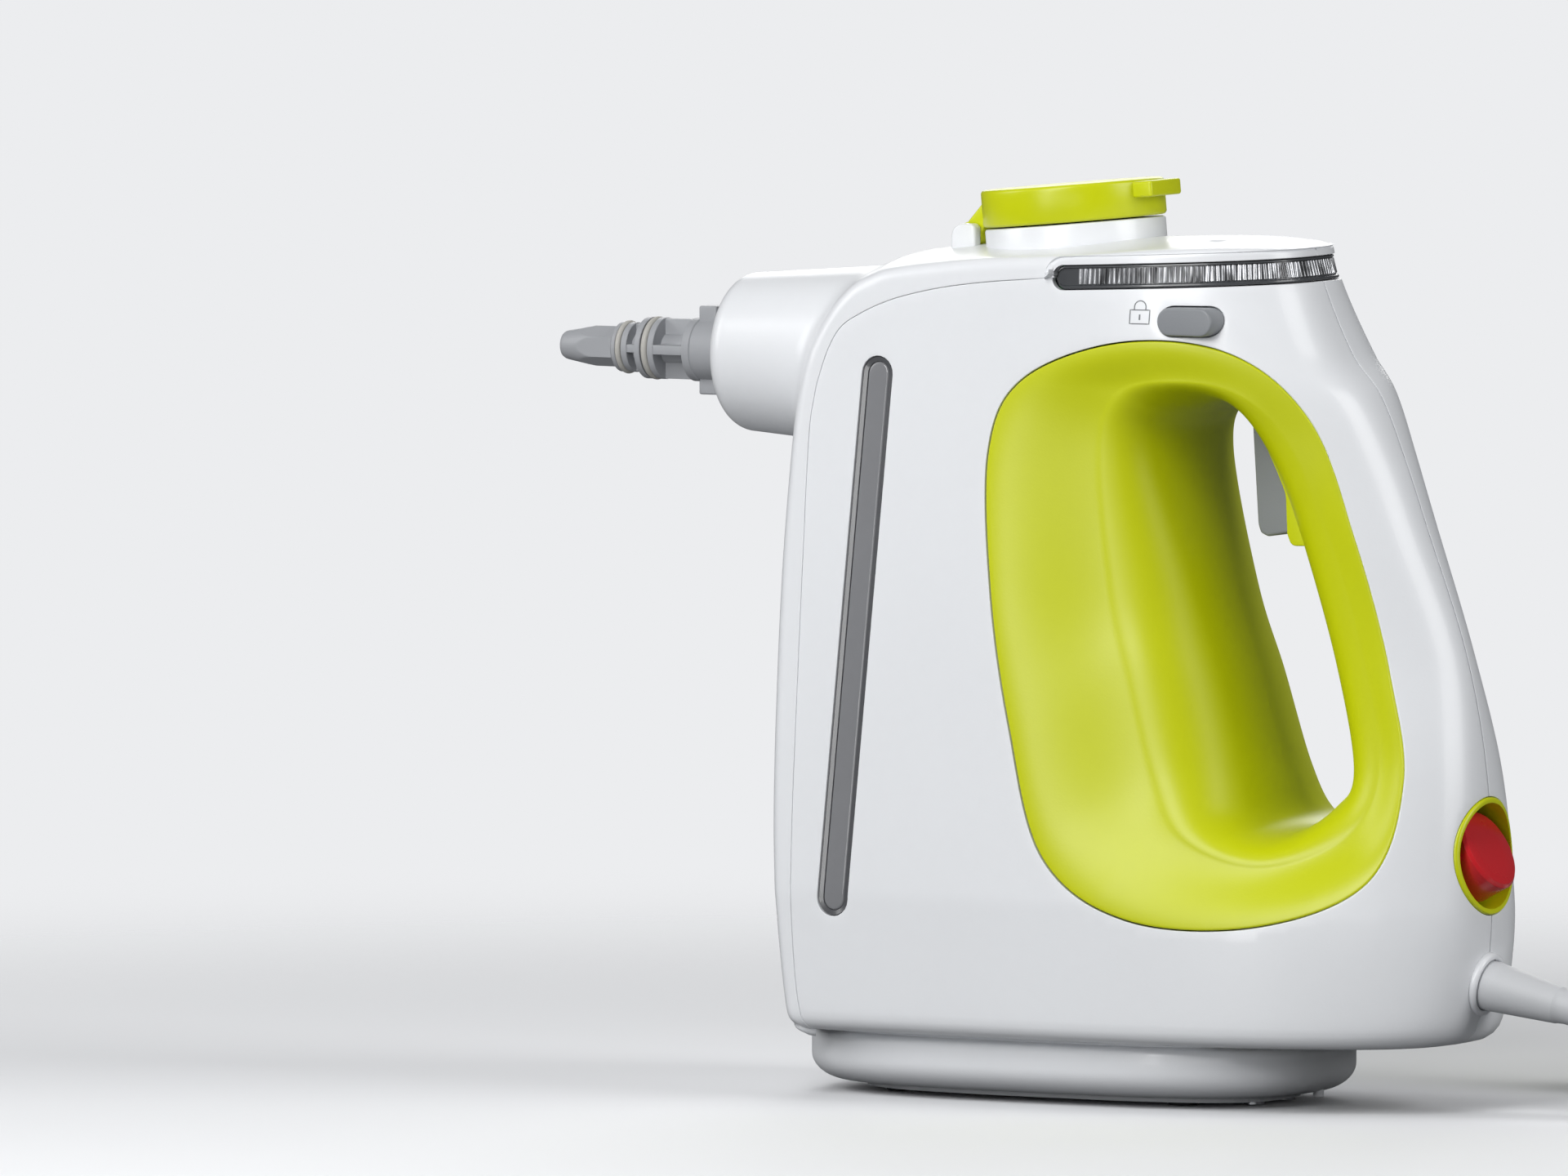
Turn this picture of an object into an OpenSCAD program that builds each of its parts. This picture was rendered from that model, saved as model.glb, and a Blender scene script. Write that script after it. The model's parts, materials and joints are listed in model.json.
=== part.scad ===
// Hand-held steam cleaner: a white two-part housing with a front cover, a closed hand
// opening with a trigger, a filler cap on top and a bayonet steam nozzle at the front.
// X runs to the rear, Z runs up, and the left side is -Y. The origin lies on the floor,
// under the middle of the plinth. All sizes are in millimetres.

/* [Housing] */
// Half width of the housing where it is widest
body_half_w = 54; // [52:0.5:56]
// Half width of the housing at the height of the light band
head_half_w = 39; // [38:0.5:40]
// How far the grip stands behind the origin
rear_reach = 135.8; // [134:0.2:138]
// How far the edge of the front cover stands before the origin
front_reach = 77; // [76:0.5:79]
// Wall of the shells and of the cover
wall = 2.6; // [2:0.1:3]
// Gap along every seam between the mouldings
seam = 0.4; // [0.3:0.1:0.8]
// Wall of the liners of the hand opening
liner_wall = 2.2; // [1.8:0.1:2.6]

/* [Plinth] */
// Half length of the plinth
plinth_half_l = 82; // [80:0.5:84]
// Half width of the plinth
plinth_half_w = 45; // [43:0.5:46]
// Height of the plinth's top above the floor
plinth_top = 19.5; // [19:0.5:20]
// Wall of the plinth
plinth_wall = 2.4; // [2:0.1:3]
// Thickness of the plate that closes the plinth
plate_t = 1.7; // [1.4:0.1:2.2]
// Height of the feet
foot_h = 1.2; // [0.8:0.1:2]
// Radius of the feet
foot_r = 4.5; // [4:0.5:5.5]

/* [Front] */
// Sag of the front cover's web across its width
front_crown = 11; // [9:0.5:12]
// Height of the nozzle above the floor
nozzle_z = 213.3; // [212:0.1:214]
// Radius of the round snout at its front rim
snout_r = 23.3; // [22:0.1:24]
// Distance from the origin to the snout's front rim
snout_x = 115; // [112:0.5:118]
// Radius of the bore in the snout
snout_bore_r = 20.5; // [19:0.1:21]

/* [Nozzle] */
// Distance from the origin to the nozzle's tip
nozzle_tip_x = 175; // [170:1:180]
// Radius of the nozzle at its tip
nozzle_tip_r = 4.2; // [3.5:0.1:5]
// Radius of the front land, which seals in an attachment
land_r = 7.3; // [7:0.1:7.6]
// Radius of the two discs that hold the rear seal
rear_land_r = 9.05; // [8.6:0.05:9.2]
// Radius of the collar, which centres an attachment
collar_r = 9.35; // [9.3:0.05:9.6]
// Radius of the bore for steam
steam_bore_r = 1.6; // [1:0.1:2.4]
// Span over the two bayonet lugs
lug_span = 26; // [24:0.5:28]

/* [Filler] */
// Diameter of the filler cap
cap_d = 53.6; // [50:0.2:54]
// Height of the filler cap
cap_h = 11; // [9:0.5:13]
// How far the cap leans forward, in degrees
cap_tilt = 5.3; // [4:0.1:6]
// Radius of the bore in the filler neck
neck_bore_r = 16; // [14:0.5:16.5]
// Wall of the filler neck
neck_wall = 3; // [2:0.5:3]
// Radius of the hinge pin
hinge_pin_r = 2; // [1.6:0.1:2.2]
// Running clearance round every pin
run_gap = 0.06; // [0.03:0.01:0.1]

/* [Hand opening] */
// Half thickness of the trigger's blade
trigger_half_t = 6; // [5:0.1:6.2]
// Half width of the frame round the trigger
guard_half_w = 8.6; // [8.4:0.1:9.4]
// Radius of the trigger's pin
trigger_pin_r = 2; // [1.5:0.1:2.5]
// Gap between the trigger and its frame
trigger_gap = 0.35; // [0.3:0.05:0.6]
// Length of the lock's face
lock_l = 18.2; // [17:0.1:18.4]
// Height of the lock's face
lock_h = 8.2; // [7.6:0.1:8.4]
// Gap round the lock in the shells
lock_gap = 0.4; // [0.3:0.05:0.6]
// How far the lock stands out of the shell
lock_out = 4; // [3:0.5:5]

/* [Light band and window] */
// Height of the light band
band_h = 6.7; // [6:0.1:7]
// Depth of the light band
band_t = 4; // [3:0.1:4.5]
// Width of the level window
window_w = 10; // [8:0.5:11]
// Depth of the level window
window_t = 5; // [4:0.5:6]

/* [Power switch and cord] */
// Height of the power switch above the floor
switch_z = 74.7; // [73:0.1:76]
// Radius of the ring round the power switch
bezel_r = 17; // [16:0.5:18]
// Radius of the bore in that ring
bezel_bore_r = 15.3; // [15.2:0.1:15.6]
// Radius of the rocker
rocker_r = 12.4; // [12:0.1:12.8]
// Radius of the rocker's trunnions
trunnion_r = 1.5; // [1.2:0.1:1.8]
// How far the rocker tips either way, in degrees
rocker_tilt = 28; // [22:1:28]
// Height at which the cord leaves the housing
cord_z = 37.4; // [36:0.2:39]
// How far the cord leaves downwards, in degrees
cord_drop = 12; // [10:1:14]
// Diameter of the cord
cord_d = 7.2; // [7:0.1:7.4]
// Radius of the strain relief where it leaves the housing
relief_r = 7.3; // [7:0.05:7.4]
// Length of the strain relief outside the housing
relief_l = 41.2; // [40:0.2:42]

/* [Coil of cord] */
// Loops in each of the coil's four layers
coil_loops = 3; // [2:1:3]
// Radius of the coil's outermost loop
coil_r = 54; // [52:0.5:56]
// Distance between neighbouring loops, over the cord's diameter
coil_gap = 0.5; // [0.45:0.05:0.8]

/* [Hidden] */
$fn = 48;

white = [0.93, 0.93, 0.94];
grey = [0.52, 0.54, 0.56];
dark = [0.2, 0.2, 0.21];
lime = [0.72, 0.76, 0.12];
steel = [0.7, 0.7, 0.72];

// ---------- the housing's skin ----------
// Rear outline of the housing: height, then how far it lies before the grip's rearmost point
rear_line = [for (p = [[19.5, 7.3], [28, 3.8], [46, 0.8], [60, 0], [98, 1.6], [133, 8.5],
    [171, 22.2], [190, 29.3], [208, 37.4], [218, 45.8], [240, 56.1], [254, 59.5]])
  [p[0], rear_reach - p[1]]];
// How square the plan is towards the rear: height, then the superellipse's exponent
rear_square = [[19.5, 2.8], [57, 2.72], [98, 2.35], [133, 1.95], [171, 2.1], [187, 2.2],
  [208, 2.5], [218, 2.8], [240, 2.6], [254, 2.6]];
widest_z = 60;
band_z = 240;
front_taper = 0.065;
front_l = 80;

// Smooth curve through a table of [key, value] rows
function row_of(z, t, i = 0) = i >= len(t) - 2 || z < t[i + 1][0] ? i : row_of(z, t, i + 1);
function slope(t, i) =
  let (a = max(i - 1, 0), b = min(i + 1, len(t) - 1)) (t[b][1] - t[a][1]) / (t[b][0] - t[a][0]);
function smooth(z, t) =
  let (i = row_of(z, t), h = t[i + 1][0] - t[i][0], s = (z - t[i][0]) / h,
       a = t[i][1], b = t[i + 1][1], ma = slope(t, i) * h, mb = slope(t, i + 1) * h)
  a + s * (ma + s * (3 * (b - a) - 2 * ma - mb + s * (2 * (a - b) + ma + mb)));

// Half width of the skin at a height, before the plan closes to the rear
function half_w(z) = z > widest_z
  ? body_half_w - (z - widest_z) * (body_half_w - head_half_w) / (band_z - widest_z)
  : body_half_w - (widest_z - z) * 0.02;

// A point of the left skin, t inside it; q runs from -1 (front) over 0 to 1 (rear seam)
function skin(q, z, t = 0) = q < 0
  ? [front_l * q, t - half_w(z) * (1 - front_taper * q * q), z]
  : let (n = smooth(z, rear_square))
    [(smooth(z, rear_line) - t) * pow(sin(90 * q), 2 / n),
     (t - half_w(z)) * pow(cos(90 * q), 2 / n), z];
function q_of(x, z) = x < 0 ? x / front_l
  : asin(pow(min(x / smooth(z, rear_line), 1), smooth(z, rear_square) / 2)) / 90;
function depth(x, z) = -skin(q_of(x, z), z)[1];
function skin_x(y, z) = let (n = smooth(z, rear_square))
  smooth(z, rear_line) * pow(1 - pow(abs(y) / half_w(z), n), 1 / n);
function rear_x(z) = smooth(z, rear_line);

// ---------- meshes ----------
function flat(l) = [for (a = l) for (b = a) b];
function unit(v) = v / norm(v);

// Skin through rings of points; closed joins the last ring to the first. Otherwise the ends
// are capped: each ring then is an outer path out and an inner path back (strips), or convex.
module loft(rings, closed = false, strips = false) {
  m = len(rings);
  n = len(rings[0]);
  sides = [for (i = [0 : m - (closed ? 1 : 2)], j = [0 : n - 1])
    let (a = i * n + j, b = i * n + (j + 1) % n, e = (i + 1) % m, c = e * n + (j + 1) % n,
         d = e * n + j)
    each [[a, b, c], [a, c, d]]];
  z = (m - 1) * n;
  caps = closed ? []
    : strips
      ? [for (j = [0 : n / 2 - 2]) let (k = n - 1 - j)
         each [[k, k - 1, j + 1], [k, j + 1, j], [z + j, z + j + 1, z + k - 1],
               [z + j, z + k - 1, z + k]]]
      : [for (j = [1 : n - 2]) each [[0, j + 1, j], [z, z + j, z + j + 1]]];
  polyhedron(flat(rings), concat(sides, caps));
}

// Round tube of radius r along points; side is a direction that it never runs along
function tube_rings(path, r, sides, side) =
  [for (i = [0 : len(path) - 1])
    let (t = unit(path[min(i + 1, len(path) - 1)] - path[max(i - 1, 0)]),
         n = unit(cross(side, t)), b = cross(t, n))
    [for (k = [0 : sides - 1]) let (a = -360 * k / sides)
      path[i] + r * (cos(a) * n + sin(a) * b)]];

// Smooth curve through points, with a number of steps between two of them
function curve_at(p, i, s) =
  let (a = p[max(i - 1, 0)], b = p[i], c = p[i + 1], d = p[min(i + 2, len(p) - 1)])
  b + s / 2 * (c - a + s * (2 * a - 5 * b + 4 * c - d + s * (3 * b - 3 * c + d - a)));
function curve(p, steps) = concat(
  [for (i = [0 : len(p) - 2], k = [0 : steps - 1]) curve_at(p, i, k / steps)], [p[len(p) - 1]]);

// Rod along Y between two depths
module rod(x, z, r, y0, y1) {
  translate([x, y0, z]) rotate([-90, 0, 0]) cylinder(r = r, h = y1 - y0);
}

// Block between two corners
module block(a, b) {
  translate(a) cube(b - a);
}

// Block whose bottom and top rectangles differ: [x0, x1, half width, z] for each
module taper_block(low, high) {
  loft([for (s = [low, high]) [[s[0], -s[2], s[3]], [s[0], s[2], s[3]],
    [s[1], s[2], s[3]], [s[1], -s[2], s[3]]]]);
}

// Plate along Y with an outline in X and Z
module plate_y(points, y0, y1) {
  translate([0, y1, 0]) rotate([90, 0, 0]) linear_extrude(y1 - y0) polygon(points);
}

// ---------- the hand opening ----------
// Its liner in 14 ribs, clockwise from the front: outline on the skin, crest, throat at Y = 0
outline = [[-5, 150], [-7.5, 190], [3, 211], [34, 222.3], [66, 220], [88, 202], [102, 167],
  [114, 128], [121, 97], [114, 68], [84, 55.3], [44, 56], [16, 73], [3, 111]];
crest = [[27.5, 150, 35], [24, 190, 35], [31, 207.5, 36], [48, 211.8, 35], [68, 208.5, 31],
  [82, 194.5, 25], [93.5, 166, 20.5], [105, 129, 20], [111, 97.5, 23.5], [102, 79.5, 30],
  [80, 71.6, 39.5], [56, 79, 42], [44, 97, 39], [34.5, 127, 37]];
throat = [[51.5, 148], [41, 187], [42.5, 199.5], [52, 205], [61.5, 201], [70, 184.5], [77, 163],
  [87.5, 129], [94.5, 99], [91.5, 90], [82.5, 82.5], [72.5, 85], [67.5, 97.5], [59.5, 124]];
crease = 0.35;
ribs = len(outline);
rays = 4 * ribs;

function loop_at(p, u) =
  let (n = len(p), i = floor(u), s = u - i, a = p[(i + n - 1) % n], b = p[i % n],
       c = p[(i + 1) % n], d = p[(i + 2) % n])
  b + s / 2 * (c - a + s * (2 * a - 5 * b + 4 * c - d + s * (3 * b - 3 * c + d - a)));

// The outline, a gap outside itself
function outline_at(u, gap = 0) =
  let (d = unit(loop_at(outline, u + 0.05) - loop_at(outline, u + ribs - 0.05)))
  loop_at(outline, u) + gap * [-d[1], d[0]];

// The left liner's face: w runs from 0 (skin) over 1 (crest) to 2 (throat)
function liner(u, w) =
  let (e = loop_at(outline, u), c = loop_at(crest, u), h = [c[0], c[1]], t = loop_at(throat, u))
  w <= 1
    ? let (p = e + (h - e) * w, y = depth(e[0], e[1]))
      [p[0], -(y + (c[2] - y) * w * w * ((3 - 2 * w) * (1 - crease) + crease)), p[1]]
    : let (a = 90 * (w - 1), p = h + (t - h) * sin(a)) [p[0], -c[2] * cos(a), p[1]];

// The liner's back, a wall behind its face
function liner_back(u, w, t = liner_wall) =
  let (du = liner(u + 0.1, w) - liner(u + ribs - 0.1, w),
       dw = liner(u, min(w + 0.05, 2)) - liner(u, max(w - 0.05, 0)),
       p = liner(u, w) + t * unit(cross(du, dw)))
  w == 2 ? [p[0], 0, p[2]] : p;

module liner_half() {
  difference() {
    loft([for (i = [0 : rays - 1]) let (u = i * ribs / rays) concat(
      [for (k = [0 : 8]) liner_back(u, k / 4)], [for (k = [8 : -1 : 0]) liner(u, k / 4)])],
      closed = true);
    trigger_slot();
  }
}

// Room for the trigger and its frame in the liners
module trigger_slot() {
  plate_y([[57, 193], [57, 214], [100, 214], [100, 164], [70, 164]],
    -trigger_half_t - 2 * trigger_gap, trigger_half_t + 2 * trigger_gap);
  plate_y(guard_outline(trigger_gap), -guard_half_w - trigger_gap, guard_half_w + trigger_gap);
}

// ---------- the shells ----------
// Parting line of the shell, as [ray, q, height], from the front over the top and the rear
front_x = 7.4 - front_reach;
border = concat(
  [for (p = [[0, 0, 150], [0.5, 0.4, 180], [1, 2.2, 205], [1.5, 7.6, 220.5], [2, 22.6, 230.8],
      [2.5, 54.6, 237.1]]) [p[0], (front_x + p[1] + seam) / front_l, p[2] - seam]],
  [for (p = [[2.75, 8, 239.1], [3, 12, 236.8], [3.5, 40, 237.8], [4, 62, 238.6]])
    [p[0], q_of(p[1], p[2]), p[2]]],
  [for (p = [[4.5, 239.4], [5, 215], [6, 175], [7, 130], [8, 95], [9, 50], [9.5, plinth_top]])
    [p[0], 1, p[1]]],
  [for (p = [[10, 85], [11, 30]]) [p[0], q_of(p[1], plinth_top), plinth_top]],
  [[12, -45 / front_l, plinth_top]],
  [for (p = [[12.5, 7, plinth_top], [12.75, 1, 45], [13, 0, 85], [14, 0, 150]])
    [p[0], (front_x + p[1] + seam) / front_l, p[2]]]);
border_q = [for (b = border) [b[0], b[1]]];
border_z = [for (b = border) [b[0], b[2]]];

// One ray of the shell, from the hand opening (k = 0) to the parting line (k = 4)
function shell_at(u, k, t) =
  let (e = outline_at(u, seam), q = q_of(e[0], e[1]),
       a = q + (lookup(u, border_q) - q) * k / 4, z = e[1] + (lookup(u, border_z) - e[1]) * k / 4)
  k == 0 ? skin(a, z) + [0, t, 0] : skin(a, z, t);

// Screw pillars, [x, z]
pillars = [[115, 146], [98, 34], [86, 213.5], [4, 62]];
pillar_r = 4;
screw_r = 1.5;
screw_head_r = 3.2;
screw_y = 10;
trigger_x = 72;
trigger_z = 228;
lock_x = 55;
lock_z = 229;

function superellipse(a, b, n, from, to, steps = 24) =
  [for (k = [0 : steps]) let (w = from + (to - from) * k / steps, c = cos(w), s = sin(w))
    [a * sign(c) * pow(abs(c), 2 / n), b * sign(s) * pow(abs(s), 2 / n)]];
plinth_n = 3;
shelf_w = 10;
plate_inset = 15;
floor_t = 2.1;
floor_x = 59;
base_x = 62;
base_y = 9;
peg_at = [75, 6];

// Plate with the plinth's plan, an inset inside its outline; its left half, or the whole of it
module plinth_half(inset, z0, z1) {
  translate([0, 0, z0]) linear_extrude(z1 - z0)
    polygon(superellipse(plinth_half_l - inset, plinth_half_w - inset, plinth_n, 180, 360));
}
module plinth_plate(inset, z0, z1) {
  translate([0, 0, z0]) linear_extrude(z1 - z0)
    polygon(superellipse(plinth_half_l - inset, plinth_half_w - inset, plinth_n, 0, 352.5, 47));
}

// Room for the plate's posts in the plinth's floor
module post_room() {
  for (p = concat(boiler_posts, pump_feet)) translate([p[0], p[1], 0]) cylinder(r = post_r + 0.5, h = 9);
}

// Rod from the shell's wall inwards; it ends in the wall all round
module pillar(x, z, r, y1) {
  reach = min([for (a = [0 : 45 : 315]) depth(x + r * cos(a), z + r * sin(a))]);
  rod(x, z, r, 0.8 - reach, y1);
}

module plain_shell() {
  loft([for (i = [0 : rays - 1]) let (u = i * ribs / rays) concat(
    [for (k = [0 : 4]) shell_at(u, k, 0)], [for (k = [4 : -1 : 0]) shell_at(u, k, wall)])],
    closed = true);
  difference() {
    plinth_half(0, plate_z + plate_t, plinth_top);
    plinth_plate(plinth_wall, plate_z + plate_t + floor_t, plinth_top - plinth_wall);
    plinth_plate(shelf_w, plate_z + plate_t + floor_t + 1, plinth_top + 1);
    intersection() {
      plinth_plate(plate_inset + 3, 0, plate_z + plate_t + floor_t + 2);
      block([-floor_x, -50, 0], [floor_x, 50, plinth_top]);
    }
    post_room();
  }
  difference() {
    translate([0, 0, plinth_top]) linear_extrude(wall) polygon(concat([[front_x + 9, 0]],
      [for (k = [0 : 16]) let (p = skin(-0.76 + 1.76 * k / 16, plinth_top, wall / 2)) [p[0], p[1]]]));
    plinth_plate(shelf_w, plinth_top - 1, plinth_top + wall + 1);
  }
  for (x = [-base_x, base_x]) translate([x, -base_y, plate_z + plate_t])
    cylinder(r = pillar_r - 0.5, h = 14.1);
  for (p = pillars) pillar(p[0], p[1], pillar_r, 0);
  pillar(trigger_x, trigger_z, trigger_pin_r + 3, -trigger_half_t - 1.2);
  block([spring_x1, -5, 190], [rear_x(202) - 1, 0, 202]);
  intersection() {
    cord_frame() translate([0, 0, -wall]) cylinder(r = relief_r + 2.1, h = wall + 1.6);
    block([switch_x - 35, -20, 0], [switch_x + 25, 0, 80]);
  }
}

module shell_cuts() {
  lock_shape(lock_gap, -60, 60);
  rod_x(switch_z, bezel_r + 0.25, switch_x - bezel_depth - 6, switch_x + 12);
  cord_frame() translate([0, 0, -20]) cylinder(r = relief_r + 0.25, h = 40);
  rod(trigger_x, trigger_z, trigger_pin_r, -20, 20);
  for (x = [-base_x, base_x], y = [-base_y, base_y]) translate([x, y, 0]) cylinder(r = screw_r, h = 16);
}

// Rod along X on the middle plane
module rod_x(z, r, x0, x1, r_end = 0) {
  translate([x0, 0, z]) rotate([0, 90, 0]) cylinder(r1 = r, r2 = r_end > 0 ? r_end : r, h = x1 - x0);
}

module left_shell() {
  color(white) difference() {
    plain_shell();
    shell_cuts();
    window_body(0.3, 20);
    for (p = pillars) rod(p[0], p[1], screw_r, -screw_y - 2, 1);
  }
}

module right_shell() {
  color(white) difference() {
    union() {
      mirror([0, 1, 0]) plain_shell();
      translate([peg_at[0], peg_at[1], plate_z + 0.3]) cylinder(r = 1.6, h = 3);
    }
    shell_cuts();
    for (p = pillars) {
      rod(p[0], p[1], screw_r + 0.3, -1, 60);
      rod(p[0], p[1], screw_head_r + 0.3, screw_y, 70);
    }
  }
}

module case_screws() {
  color(steel) for (p = pillars) {
    rod(p[0], p[1], screw_r, -screw_y, screw_y);
    rod(p[0], p[1], screw_head_r, screw_y, screw_y + 2.4);
  }
}

// ---------- the front and top cover ----------
// Stations from the front's foot over the brow: how far the edge lies behind the foremost edge
// and its height, the same of its flange's foot, how much less the web sags, and the web's height
brow = [[8, 20.4, 14.5, 20.4, 0, 20.4], [5.6, 26, 10.5, 26, 0, 26], [3, 48, 8.4, 46, 0, 48],
  [0.6, 81, 7.4, 81, 0, 81], [0, 119, 7.4, 119, 0, 119], [0.5, 157, 7.6, 157, 0, 157],
  [2.5, 193, 8, 192, 0, 194], [4.1, 206.5, 9.4, 204, 0.4, 207.5], [6.4, 215.8, 10.8, 210, 0.8, 217.5],
  [9, 221.6, 13, 216.5, 1.5, 224], [12.7, 227.5, 15.5, 221.5, 2.3, 230.5],
  [16, 231.7, 18.5, 225, 3.2, 235.5], [20.6, 236, 23.5, 228, 5.9, 240.6],
  [26, 238.7, 30, 231, 7, 243.5], [32.6, 241, 38, 233.7, 8.4, 245.8]];
// Stations along the top: place, and the heights of edge, flange foot and web
top = [[-37, 242.3, 235.8, 247], [-11, 245.3, 238.2, 249], [9, 246.6, 239.8, 250.2],
  [11, 246.7, 244.3, 250.3], [36, 248.4, 245.3, 251.5], [54, 249.6, 246.2, 252],
  [66, 249.8, 246.8, 251.6], [73, 249.7, 247.2, 250.9], [77, 249.5, 247.5, 250]];
stations = concat(
  [for (b = brow) [[b[0] - front_reach, b[1]], [b[2] - front_reach, b[3]],
    [b[0] - front_reach - front_crown + b[4], b[5]]]],
  [for (t = top) [[t[0], t[1]], [t[0], t[2]], [t[0], t[3]]]]);

function cover_ring(i) =
  let (s = stations[i], e = s[0], f = s[1], c = s[2],
       a = stations[max(i - 1, 0)][2], b = stations[min(i + 1, len(stations) - 1)][2],
       d = unit(b - a), inward = [d[1], -d[0]], we = depth(e[0], e[1]), wf = depth(f[0], f[1]),
       near = e + (f - e) * min(0.5, 3.5 / norm(f - e)), wn = (we + wf) / 2,
       web = [for (v = [0.1, 0.3, 0.5, 0.75, 1]) let (p = e + (c - e) * v * (2 - v))
         [p[0], -we * (1 - v), p[1]]],
       bend = (3 * [e[0], -we, e[1]] + [near[0], -wn, near[1]] + web[0]) / 5,
       left = concat([[f[0], -wf, f[1]], [near[0], -wn, near[1]], bend], web),
       in3 = wall * [inward[0], 0, inward[1]],
       inner = concat([[f[0], wall - wf, f[1]], [near[0], wall - wn, near[1]],
           bend + [0, wall, 0] + in3 * 0.8],
         [for (p = web) [p[0], p[1] * (1 - wall / we), p[2]] + in3]),
       flip = [1, -1, 1],
       outer_all = concat(left, [for (k = [6 : -1 : 0]) [for (j = [0 : 2]) left[k][j] * flip[j]]]),
       inner_all = concat(inner, [for (k = [6 : -1 : 0]) [for (j = [0 : 2]) inner[k][j] * flip[j]]]))
  concat(outer_all, [for (k = [14 : -1 : 0]) inner_all[k]]);

snout_rear_x = 62;
snout_flare = 4.5;
snout_edge = 6;
snout_rear_r = snout_r + (snout_x - 6 - snout_rear_x) * tan(snout_flare);
bulkhead_x = 92;
bulkhead_t = 3;
nozzle_hole_r = 7.7;

// Turns round the nozzle's axis; local Z runs to the rear from the snout's rim
module snout_frame() {
  translate([-snout_x, 0, nozzle_z]) rotate([0, 90, 0]) children();
}

module spine_cover() {
  color(white) {
    difference() {
      union() {
        difference() {
          union() {
            loft([for (i = [0 : len(stations) - 1]) cover_ring(i)], strips = true);
            snout_frame() rotate_extrude() polygon(concat([[0, 0]],
              [for (a = [90 : -15 : 0]) [snout_r - snout_edge + snout_edge * cos(a),
                snout_edge - snout_edge * sin(a)]],
              [[snout_rear_r, snout_x - snout_rear_x], [0, snout_x - snout_rear_x]]));
          }
          snout_frame() translate([0, 0, -1]) cylinder(r = snout_bore_r, h = snout_x - snout_rear_x + 3);
        }
        rod_x(nozzle_z, snout_bore_r + 1, -bulkhead_x, bulkhead_t - bulkhead_x);
        cap_frame() translate([0, 0, -9]) cylinder(r = cap_d / 2 - 0.4, h = 8.7);
        for (s = [-1, 1]) ear(s);
      }
      rod_x(nozzle_z, nozzle_hole_r + 0.2, -bulkhead_x - 1, -bulkhead_x + bulkhead_t + 1);
      cap_frame() translate([0, 0, -20]) cylinder(r = neck_r + 0.3, h = 30);
      rod(hinge_x, hinge_z, hinge_pin_r, -pin_y, 20);
      rod(hinge_x, hinge_z, hinge_pin_r + 2.6, -ear_y, ear_y);
      translate([-pipe_x, 0, nozzle_z - 40]) cylinder(r = 4.5, h = 38);
    }
  }
}

module nozzle_nut() {
  color(steel) difference() {
    rod_x(nozzle_z, 12, bulkhead_t - bulkhead_x, bulkhead_t - bulkhead_x + 6, 12);
    rod_x(nozzle_z, nozzle_hole_r, -bulkhead_x, 20 - bulkhead_x);
  }
}

// ---------- the filler ----------
cap_x = -3;
cap_z = 254.8;
neck_r = neck_bore_r + neck_wall;
hinge_x = -34.2;
hinge_z = 250;
ear_y = 7.5;
ear_t = 4;
pin_y = ear_y + ear_t - 1;

// Leans with the cap; local Z = 0 is the cap's underside
module cap_frame() {
  translate([cap_x, 0, cap_z]) rotate([0, -cap_tilt, 0]) children();
}

// One of the two ears that hold the hinge pin; the pin goes in from the right
module ear(s) {
  y0 = s > 0 ? ear_y : -ear_y - ear_t;
  rod(hinge_x, hinge_z, hinge_pin_r + 2, y0, y0 + ear_t);
  block([hinge_x - 4, y0, hinge_z - 5.5], [hinge_x + 4, y0 + ear_t, hinge_z]);
  block([hinge_x, y0, hinge_z - 1], [hinge_x + 4, y0 + ear_t, hinge_z + 3.6]);
}

module hinge_pin() {
  color(steel) rod(hinge_x, hinge_z, hinge_pin_r, -pin_y, ear_y + ear_t);
}

module filler_cap() {
  color(lime) difference() {
    union() {
      cap_frame() {
        rotate_extrude() polygon([[0, 0], [cap_d / 2 - 0.6, 0], [cap_d / 2, 1.2],
          [cap_d / 2, cap_h - 3], [cap_d / 2 - 0.9, cap_h - 0.9], [cap_d / 2 - 3, cap_h],
          [0, cap_h]]);
        translate([0, 0, -4]) cylinder(r = neck_bore_r - 0.6, h = 5);
        block([cap_d / 2 - 4, -9, cap_h - 5.5], [cap_d / 2 + 4.5, 9, cap_h - 0.8]);
      }
      rod(hinge_x, hinge_z, hinge_pin_r + 2, 0.3 - ear_y, ear_y - 0.3);
      plate_y([[hinge_x - 1, hinge_z + 3.8], [hinge_x + 1, hinge_z - 1], [hinge_x + 4.2, hinge_z + 1],
        [cap_x - 27, cap_z - 2.6], [cap_x - 20, cap_z], [cap_x - 20, cap_z + 7], [cap_x - 26, cap_z + 6]],
        0.3 - ear_y, ear_y - 0.3);
    }
    rod(hinge_x, hinge_z, hinge_pin_r + run_gap, -20, 20);
    cap_frame() translate([0, 0, -1.6]) difference() {
      cylinder(r = neck_bore_r - 0.3, h = 1.6);
      translate([0, 0, -1]) cylinder(r = neck_bore_r - 2.2, h = 4);
    }
  }
}

module cap_seal() {
  color(dark) cap_frame() translate([0, 0, -1.5]) difference() {
    cylinder(r = neck_bore_r - 0.1, h = 1.4);
    translate([0, 0, -1]) cylinder(r = neck_bore_r - 2.1, h = 4);
  }
}

// ---------- the light band ----------
band_front_x = 11.6;
function band_low(x) = 236.8 + 0.04 * x;
function band_ring(q, s, t0, t1) =
  let (z = band_low(skin(q, band_z)[0]), f = [1, s, 1])
  [for (p = [skin(q, z, t0), skin(q, z + band_h, t0), skin(q, z + band_h, t1), skin(q, z, t1)])
    [for (j = [0 : 2]) p[j] * f[j]]];

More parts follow.
